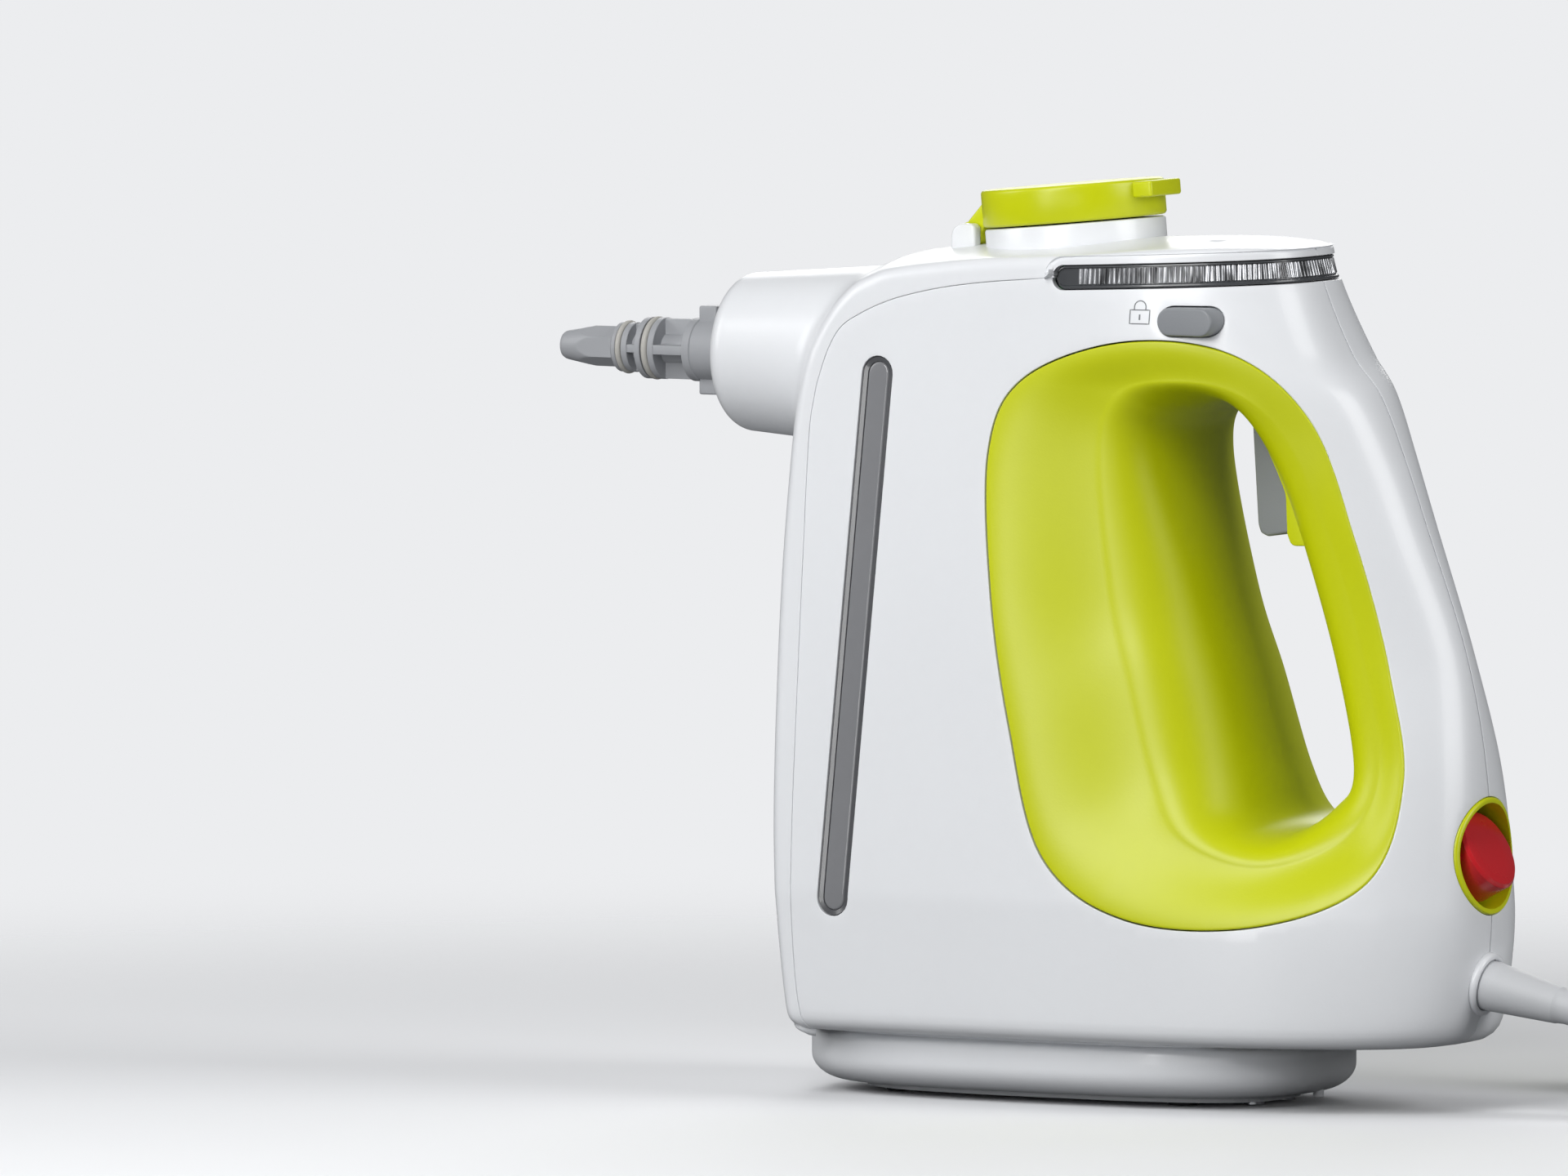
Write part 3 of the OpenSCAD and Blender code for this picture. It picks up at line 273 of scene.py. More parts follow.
def arc(centre, radius, start, end, steps):
    """Points of an arc between two angles in degrees."""
    angles = np.radians(np.linspace(start, end, steps))
    return [(centre[0] + radius * math.cos(a), centre[1] + radius * math.sin(a)) for a in angles]


def carry(obj, body, slot, material, *replaced):
    """Gives a piece its material, its body and the solids that it stands for."""
    if material is not None:
        obj.data.materials.clear()
        obj.data.materials.append(material)
    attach(obj, body)
    if replaced:
        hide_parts(*replaced)
    return obj


# %% [markdown]
# ## The cord's route
# The cord leaves the strain relief, sinks to the floor and runs behind the housing to a tied coil
# of twelve loops in four layers. The tail comes off the top loop and ends in the plug. The route
# follows the same values as the solids.

# %% Route of the cord
CORD_D = 7.2
CORD_DROP = math.radians(12)
CORD_Z = 37.4
RELIEF_L = 41.2
COIL_R = 54.0
COIL_AT = (248.0, COIL_R)
COIL_START = math.radians(-90)
COIL_LAYERS = 4
COIL_LOOPS = 3
COIL_PITCH = CORD_D + 0.5
COIL_LIE = CORD_D / 2 + 0.8
PLUG_HEAD_R = 18.8
PLUG_TURN = math.radians(188)

rear_line = table_curve([(z, 135.8 - p) for z, p in [
    (19.5, 7.3), (28, 3.8), (46, 0.8), (60, 0), (98, 1.6), (133, 8.5), (171, 22.2), (190, 29.3),
    (208, 37.4), (218, 45.8), (240, 56.1), (254, 59.5)]])
cord_root = np.array([float(rear_line(CORD_Z)), 0, CORD_Z])
exit_way = np.array([math.cos(CORD_DROP), 0, -math.sin(CORD_DROP)])
exit_at = cord_root + exit_way * RELIEF_L


def ease(s):
    c = min(max(s, 0.0), 1.0)
    return c * c * (3 - 2 * c)


def coil_point(turn):
    """A point of the coil; each layer spirals in or out and climbs at its reversal."""
    t = turn % (2 * COIL_LOOPS)
    r = COIL_R - COIL_PITCH * min(t, 2 * COIL_LOOPS - t)
    z = COIL_LIE + COIL_PITCH * sum(ease((turn - k * COIL_LOOPS) * 2 + 0.5) for k in range(1, COIL_LAYERS))
    a = COIL_START + 2 * math.pi * turn
    return (COIL_AT[0] + r * math.cos(a), COIL_AT[1] + r * math.sin(a), z)


def through(points, steps):
    """A smooth curve through the points, with a number of steps between two of them."""
    p = np.asarray(points, float)
    last = len(p) - 1
    line = []
    for i in range(last):
        a, b, c, d = p[max(i - 1, 0)], p[i], p[i + 1], p[min(i + 2, last)]
        for s in np.arange(steps) / steps:
            line.append(between(a, b, c, d, s))
    return line + [p[last]]


COIL_STEPS = 48
COIL_TURNS = COIL_LAYERS * COIL_LOOPS - 0.5
coil_line = [coil_point(k / COIL_STEPS) for k in range(round(COIL_STEPS * COIL_TURNS) + 1)]
coil_end = np.array(coil_line[-1])
plug_at = (coil_end[0] - 47, coil_end[1] - 1.7, PLUG_HEAD_R)
free_line = through([exit_at, (190, 0, 25), (203, 0, 17.8), (214, 0, 10.3), (224.5, 0, 5.6),
                     (236, 0, 4.1), coil_line[0]], 6)
tail_line = through([coil_end, coil_end + (-11, 0, 0), coil_end + (-22, -0.1, -1.4),
                     coil_end + (-34, -0.6, -5.4), plug_at], 6)
cord_line = np.array(free_line[:-1] + coil_line + tail_line[1:])

# %% [markdown]
# ## Materials
# One shared group gives every moulded surface its slight unevenness: a broad drift in tone, fine
# spark grain in the normal, and patches that are a little more or less glossy. Each material puts
# those over its own colour, and sets its constant values on the shader itself.


# %% Shared surface group
def new_group(name, inputs, outputs):
    """An empty shader group with named sockets; inputs are (name, kind, default)."""
    tree = bpy.data.node_groups.new(name, "ShaderNodeTree")
    for label, kind, default in inputs:
        socket = tree.interface.new_socket(name=label, in_out="INPUT", socket_type=kind)
        socket.default_value = default
    for label, kind in outputs:
        tree.interface.new_socket(name=label, in_out="OUTPUT", socket_type=kind)
    return tree, tree.nodes.new("NodeGroupInput"), tree.nodes.new("NodeGroupOutput")


def noise(tree, where, scale, detail=3.0):
    """A noise texture in object coordinates; the scale is a number or a socket."""
    node = tree.nodes.new("ShaderNodeTexNoise")
    node.inputs["Detail"].default_value = detail
    tree.links.new(where, node.inputs["Vector"])
    if isinstance(scale, (int, float)):
        node.inputs["Scale"].default_value = scale
    else:
        tree.links.new(scale, node.inputs["Scale"])
    return node.outputs["Fac"]


def moulding_group():
    tree, given, result = new_group("moulding", [
        ("Tone", "NodeSocketColor", (0.8, 0.8, 0.8, 1)),
        ("Spread", "NodeSocketFloat", 0.04),
        ("Gloss", "NodeSocketFloat", 0.35),
        ("Gloss spread", "NodeSocketFloat", 0.08),
        ("Grain", "NodeSocketFloat", 1800.0),
        ("Grain depth", "NodeSocketFloat", 0.1),
    ], [("Color", "NodeSocketColor"), ("Roughness", "NodeSocketFloat"), ("Normal", "NodeSocketVector")])
    where = tree.nodes.new("ShaderNodeTexCoord").outputs["Object"]
    link = tree.links.new

    drift = noise(tree, where, 11.0, 2.0)
    speck = noise(tree, where, 260.0, 4.0)
    both = tree.nodes.new("ShaderNodeMath")
    both.operation = "MULTIPLY_ADD"
    both.inputs[1].default_value = 0.35
    link(speck, both.inputs[0])
    link(drift, both.inputs[2])
    shade = tree.nodes.new("ShaderNodeMapRange")
    shade.inputs["From Min"].default_value = 0.4
    shade.inputs["From Max"].default_value = 0.95
    link(both.outputs[0], shade.inputs["Value"])
    darker = tree.nodes.new("ShaderNodeMath")
    darker.operation = "SUBTRACT"
    darker.inputs[0].default_value = 1.0
    link(given.outputs["Spread"], darker.inputs[1])
    link(darker.outputs[0], shade.inputs["To Min"])
    shade.inputs["To Max"].default_value = 1.0
    tone = tree.nodes.new("ShaderNodeVectorMath")
    tone.operation = "SCALE"
    link(given.outputs["Tone"], tone.inputs[0])
    link(shade.outputs["Result"], tone.inputs["Scale"])
    link(tone.outputs[0], result.inputs["Color"])

    smudge = noise(tree, where, 38.0, 4.0)
    offset = tree.nodes.new("ShaderNodeMath")
    offset.operation = "SUBTRACT"
    offset.inputs[1].default_value = 0.5
    link(smudge, offset.inputs[0])
    gloss = tree.nodes.new("ShaderNodeMath")
    gloss.operation = "MULTIPLY_ADD"
    link(offset.outputs[0], gloss.inputs[0])
    link(given.outputs["Gloss spread"], gloss.inputs[1])
    link(given.outputs["Gloss"], gloss.inputs[2])
    link(gloss.outputs[0], result.inputs["Roughness"])

    bump = tree.nodes.new("ShaderNodeBump")
    bump.inputs["Distance"].default_value = 0.0002
    link(given.outputs["Grain depth"], bump.inputs["Strength"])
    link(noise(tree, where, given.outputs["Grain"], 2.0), bump.inputs["Height"])
    link(bump.outputs["Normal"], result.inputs["Normal"])
    return tree


MOULDING = moulding_group()


def srgb(r, g, b):
    """A colour from its 0 to 255 values, as the shader wants it."""
    linear = [v / 255 / 12.92 if v <= 10 else ((v / 255 + 0.055) / 1.055) ** 2.4 for v in (r, g, b)]
    return (*linear, 1)


def plastic(name, tone, gloss, spread=0.04, gloss_spread=0.1, grain=1800.0, depth=0.1, **constants):
    """A material of moulded plastic; constants go straight onto the shader's sockets."""
    material = bpy.data.materials.new(name)
    material.use_nodes = True
    tree = material.node_tree
    shader = tree.nodes["Principled BSDF"]
    group = tree.nodes.new("ShaderNodeGroup")
    group.node_tree = MOULDING
    for label, value in (("Tone", tone), ("Spread", spread), ("Gloss", gloss),
                         ("Gloss spread", gloss_spread), ("Grain", grain), ("Grain depth", depth)):
        group.inputs[label].default_value = value
    tree.links.new(group.outputs["Color"], shader.inputs["Base Color"])
    tree.links.new(group.outputs["Roughness"], shader.inputs["Roughness"])
    tree.links.new(group.outputs["Normal"], shader.inputs["Normal"])
    for label, value in constants.items():
        shader.inputs[label.replace("_", " ")].default_value = value
    return material


# %% The materials
LIME = srgb(202, 210, 4)
WHITE = plastic("white_shell", srgb(233, 235, 238), 0.3, 0.03, 0.08, 1500.0, 0.08, Coat_Weight=0.12)
LINER = plastic("lime_liner", LIME, 0.38, 0.05, 0.1, 1600.0, 0.12, Specular_IOR_Level=0.5)
CAP = plastic("lime_cap", LIME, 0.33, 0.05, 0.08, 1600.0, 0.1)
TRIM = plastic("lime_trim", LIME, 0.34, 0.05, 0.08, 1600.0, 0.1)
BUTTON = plastic("grey_button", srgb(138, 141, 145), 0.4, 0.05, 0.1, 2200.0, 0.14)
NOZZLE = plastic("grey_nozzle", srgb(164, 166, 170), 0.42, 0.06, 0.12, 2200.0, 0.14)
RING = plastic("pale_ring", srgb(186, 184, 178), 0.55, 0.06, 0.1, 2600.0, 0.1)
ROCKER = plastic("red_rocker", srgb(200, 30, 38), 0.28, 0.05, 0.08, 1500.0, 0.06, Coat_Weight=0.2)
SLEEVE = plastic("grey_sleeve", srgb(200, 202, 205), 0.5, 0.05, 0.12, 2400.0, 0.16)
CORD = plastic("cord_pvc", srgb(205, 207, 209), 0.46, 0.06, 0.12, 900.0, 0.2)
BLACK = plastic("black_plastic", srgb(34, 34, 36), 0.45, 0.2, 0.15, 2000.0, 0.18)
RUBBER = plastic("rubber_seal", srgb(36, 36, 38), 0.72, 0.25, 0.12, 1500.0, 0.35)
NYLON = plastic("nylon", srgb(214, 212, 200), 0.5, 0.05, 0.1, 2000.0, 0.12)
PLATE = plastic("plate_plastic", srgb(206, 209, 212), 0.46, 0.06, 0.12, 1500.0, 0.2)
HOSE = plastic("hose_silicone", srgb(214, 210, 196), 0.4, 0.06, 0.1, 700.0, 0.15, Subsurface_Weight=0.15)
TANK = plastic("tank_plastic", srgb(206, 214, 222), 0.25, 0.04, 0.08, 900.0, 0.08, Subsurface_Weight=0.1)
STEEL = plastic("steel", srgb(176, 178, 182), 0.3, 0.08, 0.16, 3000.0, 0.12, Metallic=1.0)
CAST = plastic("cast_boiler", srgb(150, 152, 155), 0.52, 0.18, 0.2, 700.0, 0.6, Metallic=1.0)
BOARD = plastic("board", srgb(18, 84, 40), 0.35, 0.2, 0.1, 400.0, 0.3)
print("made", len(bpy.data.materials), "materials")

# %% [markdown]
# ## Floor, backdrop and light
# The floor is pale near the object and fades out around it into a plain pale backdrop. To the
# camera it is nearly white; what it throws back on the object is a darker grey. Seven soft boxes
# light the object. The main one stands high at its left side, and a narrow upright one draws a
# bright stripe down the liner of the hand opening. The others light the front, the rear, the
# top, the plinth and the right side.

# %% Stage
scene.view_settings.view_transform = "Standard"
PALE = srgb(236, 237, 239)
bpy.ops.mesh.primitive_circle_add(vertices=96, radius=3.2, fill_type="NGON", location=(0, 0, 0))
floor = bpy.context.object
floor.name = "floor"
paint = bpy.data.materials.new("floor_paint")
paint.use_nodes = True
tree = paint.node_tree
shader = tree.nodes["Principled BSDF"]
shader.inputs["Base Color"].default_value = srgb(240, 241, 243)
shader.inputs["Roughness"].default_value = 0.9
shader.inputs["Specular IOR Level"].default_value = 0.1
clear = tree.nodes.new("ShaderNodeBsdfTransparent")
fade = tree.nodes.new("ShaderNodeMixShader")
away = tree.nodes.new("ShaderNodeVectorMath")
away.operation = "LENGTH"
reach = tree.nodes.new("ShaderNodeMapRange")
reach.interpolation_type = "SMOOTHERSTEP"
reach.inputs["From Min"].default_value = 0.25
reach.inputs["From Max"].default_value = 0.9
tree.links.new(tree.nodes.new("ShaderNodeTexCoord").outputs["Object"], away.inputs[0])
tree.links.new(away.outputs["Value"], reach.inputs["Value"])
tree.links.new(reach.outputs["Result"], fade.inputs["Fac"])
glow = tree.nodes.new("ShaderNodeBsdfDiffuse")
glow.inputs["Color"].default_value = srgb(120, 121, 123)
either = tree.nodes.new("ShaderNodeMixShader")
tree.links.new(tree.nodes.new("ShaderNodeLightPath").outputs["Is Camera Ray"], either.inputs["Fac"])
tree.links.new(glow.outputs[0], either.inputs[1])
tree.links.new(shader.outputs[0], either.inputs[2])
tree.links.new(either.outputs[0], fade.inputs[1])
tree.links.new(clear.outputs[0], fade.inputs[2])
tree.links.new(fade.outputs[0], tree.nodes["Material Output"].inputs["Surface"])
floor.data.materials.append(paint)

world = bpy.data.worlds.new("studio")
scene.world = world
world.use_nodes = True
tree = world.node_tree
seen = tree.nodes["Background"]
seen.inputs["Color"].default_value = PALE
seen.inputs["Strength"].default_value = 1.0
lit = tree.nodes.new("ShaderNodeBackground")
lit.inputs["Color"].default_value = (0.93, 0.96, 1.0, 1)
lit.inputs["Strength"].default_value = 0.09
choose = tree.nodes.new("ShaderNodeMixShader")
tree.links.new(tree.nodes.new("ShaderNodeLightPath").outputs["Is Camera Ray"], choose.inputs["Fac"])
tree.links.new(lit.outputs[0], choose.inputs[1])
tree.links.new(seen.outputs[0], choose.inputs[2])
tree.links.new(choose.outputs[0], tree.nodes["World Output"].inputs["Surface"])


def soft_box(name, place, target, width, height, power):
    """A rectangular light that faces a point; lengths in metres."""
    light = bpy.data.lights.new(name, "AREA")
    light.shape = "RECTANGLE"
    light.size, light.size_y, light.energy = width, height, power
    obj = bpy.data.objects.new(name, light)
    scene.collection.objects.link(obj)
    obj.location = place
    obj.rotation_euler = (Vector(place) - Vector(target)).to_track_quat("Z", "Y").to_euler()
    return obj


soft_box("main_light", (0.05, -1.0, 0.85), (0, 0, 0.22), 0.5, 0.9, 9.4)
soft_box("strip_light", (-0.12, -1.45, 0.3), (0.0, 0, 0.15), 0.16, 0.8, 3.4)
soft_box("front_light", (-1.5, -0.9, 0.9), (-0.05, 0, 0.18), 0.8, 1.0, 9.0)
soft_box("rim_light", (1.6, 0.25, 0.8), (0.05, 0, 0.16), 0.8, 1.2, 13.5)
soft_box("top_light", (-0.2, 0.2, 1.8), (0, 0, 0.15), 1.2, 1.2, 2.4)
soft_box("low_light", (0.5, -1.3, 0.1), (0.02, 0, 0.02), 0.9, 0.16, 1.3)
soft_box("back_light", (-0.7, 1.5, 0.9), (0, 0, 0.12), 1.0, 1.0, 9.0)
print("stage and lights are set")

# %% [markdown]
# ## The cord, its coil and the tie
# One unbroken tube follows the route. The coil lies behind the housing, on the floor, with its
# whole length in its turns, and a flat nylon tie holds it.

# %% Cord
cord_path = np.vstack([cord_root + exit_way * 14, exit_at - exit_way * 6, cord_line])
cord = tube("mains_cord", cord_path, CORD_D / 2, 14)
carry(cord, "housing", "cord_pvc", CORD, "cord_tube", "cord_coil")
print("cord mesh has", len(cord.data.vertices), "vertices")

# %% [markdown]
# ## The housing's skin
# Both shells, the cover's flanges, the light band and the window lie on one skin. A place on the
# skin's left half is a pair (s, z): s is X in millimetres in front of the middle, and behind the
# middle it runs on round the rear to the seam, where it reaches WRAP. Below the foot of the
# wall the skin rolls under the housing.

# %% Skin
BODY_W = 54.0
HEAD_W = 39.0
WIDEST_Z = 60.0
BAND_Z = 240.0
FRONT_TAPER = 0.065
FRONT_L = 80.0
WRAP = 140.0
PLINTH_TOP = 19.5
ROLL = 5.0
WALL = 2.6
SEAM = 0.4
LINE_GAP = 0.06
LINE_EDGE = 0.25

rear_square = table_curve([(19.5, 2.8), (57, 2.72), (98, 2.35), (133, 1.95), (171, 2.1), (187, 2.2),
                           (208, 2.5), (218, 2.8), (240, 2.6), (254, 2.6)])


def half_w(z):
    upper = BODY_W - (z - WIDEST_Z) * (BODY_W - HEAD_W) / (BAND_Z - WIDEST_Z)
    return np.where(z > WIDEST_Z, upper, BODY_W - (WIDEST_Z - z) * 0.02)


def skin(s, z, t=0.0):
    """A point of the left skin, t inside it."""
    s, z, t = np.broadcast_arrays(np.asarray(s, float), np.asarray(z, float), np.asarray(t, float))
    foot = PLINTH_TOP + ROLL
    below = np.clip(foot - z, 0, None)
    a = np.minimum(below / ROLL, math.pi / 2)
    under = below - a * ROLL
    level = np.where(below > 0, foot - (ROLL - t) * np.sin(a), z)
    t = np.where(below > 0, ROLL - (ROLL - t) * np.cos(a) + under, t)
    half = half_w(level)
    n = rear_square(level)
    turn = np.clip(s, 0, None) / WRAP * math.pi / 2
    sin, cos = np.sin(turn), np.cos(turn)
    k = (np.abs(sin) ** n + np.abs(cos) ** n) ** (-1 / n)
    x = np.where(s < 0, s, (rear_line(level) - t) * sin * k)
    y = np.where(s < 0, t - half * (1 - FRONT_TAPER * (s / FRONT_L) ** 2), (t - half) * cos * k)
    return np.stack([x, y, level], axis=-1)


def s_of(x, z):
    """The place s on the skin at an X and a height."""
    x, z = np.broadcast_arrays(np.asarray(x, float), np.asarray(z, float))
    n = rear_square(z)
    u = np.clip(x / rear_line(z), 0, 1)
    v = (1 - u ** n) ** (1 / n)
    return np.where(x < 0, x, np.arctan2(u, v) * 2 / math.pi * WRAP)


def s_beside(y, z):
    """The place s on the rear of the skin, at a distance y from the middle plane."""
    n = rear_square(z)
    v = np.clip(np.abs(y) / half_w(z), 0, 1)
    u = (1 - v ** n) ** (1 / n)
    return np.arctan2(u, v) * 2 / math.pi * WRAP


def depth(x, z):
    return -skin(s_of(x, z), z)[..., 1]


# %% [markdown]
# A moulding with holes is made from its outline and its holes, all as closed loops of (s, z)
# places. The face between them is filled with even triangles, copied inwards for the wall's
# other side, and every loop gets a small rounded edge.


# %% Mouldings from outlines
def loop_area(loop):
    a, b = np.asarray(loop), np.roll(loop, -1, axis=0)
    return float((a[:, 0] * b[:, 1] - a[:, 1] * b[:, 0]).sum() / 2)


def spaced(loop, step, closed=True):
    """The loop with its points about a step apart; its corners stay."""
    loop = np.asarray(loop, float)
    ends = np.vstack([loop, loop[:1]]) if closed else loop
    points = []
    for a, b in zip(ends[:-1], ends[1:]):
        count = max(1, int(round(np.linalg.norm(b - a) / step)))
        points.extend(a + (b - a) * k / count for k in range(count))
    return np.array(points if closed else points + [ends[-1]])


def inside(points, loop):
    """Which points lie inside a closed loop."""
    x, y = points[:, 0][:, None], points[:, 1][:, None]
    a, b = loop, np.roll(loop, -1, axis=0)
    crosses = (a[:, 1] > y) != (b[:, 1] > y)
    with np.errstate(divide="ignore", invalid="ignore"):
        at = a[:, 0] + (y - a[:, 1]) * (b[:, 0] - a[:, 0]) / (b[:, 1] - a[:, 1])
    return ((crosses & (x < at)).sum(axis=1) % 2) == 1


def moved_in(loop, surface, distance):
    """The loop moved along the surface, to the left of its direction, by a distance in millimetres."""
    ahead, behind = np.roll(loop, -1, axis=0), np.roll(loop, 1, axis=0)
    tangent = ahead - behind
    e = 0.05
    du = (surface(loop[:, 0] + e, loop[:, 1]) - surface(loop[:, 0] - e, loop[:, 1])) / (2 * e)
    dv = (surface(loop[:, 0], loop[:, 1] + e) - surface(loop[:, 0], loop[:, 1] - e)) / (2 * e)
    along = du * tangent[:, :1] + dv * tangent[:, 1:]
    normal = np.cross(du, dv)
    side = np.cross(normal, along)
    side /= np.linalg.norm(side, axis=1)[:, None]
    uu, vv, uv = (du * du).sum(1), (dv * dv).sum(1), (du * dv).sum(1)
    su, sv = (du * side).sum(1), (dv * side).sum(1)
    det = uu * vv - uv * uv
    return loop + distance * np.stack([(su * vv - sv * uv) / det, (sv * uu - su * uv) / det], axis=1)


def fill(loops, step):
    """Even triangles between an outer loop and its holes: the places and the triangles."""
    points = np.vstack(loops)
    low, high = points.min(axis=0), points.max(axis=0)
    rows = np.arange(low[1], high[1], step * 0.87)
    inner = []
    for k, v in enumerate(rows):
        u = np.arange(low[0] + (k % 2) * step / 2, high[0], step)
        inner.append(np.stack([u, np.full_like(u, v)], axis=1))
    inner = np.vstack(inner)
    keep = inside(inner, loops[0])
    for hole in loops[1:]:
        keep &= ~inside(inner, hole)
    inner = inner[keep]
    far = np.ones(len(inner), bool)
    for k in range(0, len(inner), 2000):
        gaps = inner[k:k + 2000, None, :] - points[None, :, :]
        far[k:k + 2000] = (gaps ** 2).sum(axis=2).min(axis=1) > (0.55 * step) ** 2
    every = np.vstack([points, inner[far]])
    edges, first = [], 0
    for loop in loops:
        n = len(loop)
        edges += [(first + k, first + (k + 1) % n) for k in range(n)]
        first += n
    made = geometry.delaunay_2d_cdt([Vector(p) for p in every], edges, [], 0, 1e-7)
    places = np.array([tuple(v) for v in made[0]])
    triangles = np.array(made[2])
    middle = places[triangles].mean(axis=1)
    keep = inside(middle, loops[0])
    for hole in loops[1:]:
        keep &= ~inside(middle, hole)
    index = {old: new for new, olds in enumerate(made[3]) for old in olds}
    starts = np.cumsum([0] + [len(loop) for loop in loops])
    rims = [[index[k] for k in range(starts[i], starts[i + 1])] for i in range(len(loops))]
    return places, triangles[keep], rims


def moulding(name, outline, holes, surface, wall=WALL, edge=LINE_EDGE, step=2.6, edge_steps=4):
    """A wall of even thickness on a surface, with holes and a rounded edge along every loop."""
    loops = [np.asarray(outline) if loop_area(outline) > 0 else np.asarray(outline)[::-1]]
    loops += [np.asarray(h) if loop_area(h) < 0 else np.asarray(h)[::-1] for h in holes]
    places, triangles, rims = fill([moved_in(loop, surface, edge) for loop in loops], step)
    count = len(places)
    points = [surface(places[:, 0], places[:, 1], 0.0), surface(places[:, 0], places[:, 1], wall)]
    faces = [tuple(t) for t in triangles] + [tuple(t[::-1] + count) for t in triangles]
    first = 2 * count
    for loop, rim in zip(loops, rims):
        n = len(loop)
        rows = [rim]
        for a in np.linspace(0, math.pi / 2, edge_steps + 1)[1:]:
            row = moved_in(loop, surface, edge * (1 - math.sin(a)))
            points.append(surface(row[:, 0], row[:, 1], edge * (1 - math.cos(a))))
            rows.append(list(range(first, first + n)))
            first += n
        points.append(surface(loop[:, 0], loop[:, 1], wall))
        rows.append(list(range(first, first + n)))
        first += n
        rows.append([k + count for k in rim])
        for a, b in zip(rows[:-1], rows[1:]):
            faces += [(a[j], a[(j + 1) % n], b[(j + 1) % n], b[j]) for j in range(n)]
    return make(name, np.vstack(points), faces, sharp=50)


# %% [markdown]
# ## The hand opening
# Both liners run from the outline on the skin over a soft crest to the throat on the middle
# plane. The same fourteen ribs steer them as in the solids.

# %% Hand opening
CREASE = 0.35
OUTLINE = [(-5, 150), (-7.5, 190), (3, 211), (34, 222.3), (66, 220), (88, 202), (102, 167),
           (114, 128), (121, 97), (114, 68), (84, 55.3), (44, 56), (16, 73), (3, 111)]
CREST = [(27.5, 150, 35), (24, 190, 35), (31, 207.5, 36), (48, 211.8, 35), (68, 208.5, 31),
         (82, 194.5, 25), (93.5, 166, 20.5), (105, 129, 20), (111, 97.5, 23.5), (102, 79.5, 30),
         (80, 71.6, 39.5), (56, 79, 42), (44, 97, 39), (34.5, 127, 37)]
THROAT = [(51.5, 148), (41, 187), (42.5, 199.5), (52, 205), (61.5, 201), (70, 184.5), (77, 163),
          (87.5, 129), (94.5, 99), (91.5, 90), (82.5, 82.5), (72.5, 85), (67.5, 97.5), (59.5, 124)]
RIBS = len(OUTLINE)


def loop_at(rows, u):
    """A point of the closed smooth curve through the rows; u counts the rows."""
    p = np.asarray(rows, float)
    u = np.asarray(u, float)
    i = np.floor(u).astype(int)
    return between(*(p[(i + k) % len(p)] for k in (-1, 0, 1, 2)), (u - i)[..., None])


def outline_at(u, gap=0.0):
    """The opening's outline in (X, Z), a gap outside itself."""
    d = loop_at(OUTLINE, u + 0.05) - loop_at(OUTLINE, u - 0.05)
    d /= np.linalg.norm(d, axis=-1)[..., None]
    return loop_at(OUTLINE, u) + gap * np.stack([-d[..., 1], d[..., 0]], axis=-1)


def liner_face(u, w):
    """The left liner's face: w runs from 0 on the skin over 1 at the crest to 2 in the throat."""
    u, w = np.broadcast_arrays(np.asarray(u, float), np.asarray(w, float))
    e, c, t = loop_at(OUTLINE, u), loop_at(CREST, u), loop_at(THROAT, u)
    v = np.clip(w, 0, 1)[..., None]
    y = depth(e[..., 0], e[..., 1])[..., None]
    outer = e + (c[..., :2] - e) * v
    outer_y = -(y + (c[..., 2:] - y) * v * v * ((3 - 2 * v) * (1 - CREASE) + CREASE))
    a = np.clip(w - 1, 0, 1)[..., None] * math.pi / 2
    inner = c[..., :2] + (t - c[..., :2]) * np.sin(a)
    inner_y = -c[..., 2:] * np.cos(a)
    first = w[..., None] <= 1
    flat = np.where(first, outer, inner)
    return np.concatenate([flat[..., :1], np.where(first, outer_y, inner_y), flat[..., 1:]], axis=-1)


def shifted(face, distance):
    """A closed grid of points moved along its own normals."""
    du = np.roll(face, -1, axis=0) - np.roll(face, 1, axis=0)
    dw = np.gradient(face, axis=1)
    normal = np.cross(du, dw)
    return face + distance * normal / np.linalg.norm(normal, axis=2)[..., None]


def make_liner():
    rays, levels = 280, 64
    lip = 0.5
    u = np.arange(rays) * RIBS / rays
    w = np.linspace(0.02, 2, levels)
    face = liner_face(u[:, None], w[None, :])
    back = shifted(face, 2.2)
    back[:, -1, 1] = 0
    # the rounded lip at the outline
    first = liner_face(u[:, None], np.array([0.0, 0.02])[None, :])
    out = first[:, 0] - first[:, 1]
    out /= np.linalg.norm(out, axis=1)[:, None]
    edge = liner_face(u, 0.0)
    inward = np.array([0, 1.0, 0])
    rim = [edge + inward * lip * (1 - math.cos(a)) - out * lip * (1 - math.sin(a))
           for a in np.linspace(0, math.pi / 2, 5)]
    rim.append(edge + inward * 3.0)
    rows = [rim[k] for k in range(len(rim) - 1, -1, -1)]
    rows += [face[:, k] for k in range(1, levels)]
    rows += [back[:, k] for k in range(levels - 1, -1, -1)]
    ring = np.stack(rows, axis=1)
    return make("left_liner", ring.reshape(-1, 3),
                grid_faces(rays, ring.shape[1], wrap_rows=True, wrap_columns=True), sharp=60)


left_liner = carry(make_liner(), "housing", "lime_liner", LINER)
right_liner = mirrored(left_liner, "right_liner")
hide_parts("left_handle_liner")
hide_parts("right_handle_liner")
print("each liner has", len(left_liner.data.polygons), "faces")

# %% [markdown]
# ## The shells
# The parting line between the shells and the front cover starts at the housing's foot, runs over
# the brow and meets the light band's round front end at half its height.

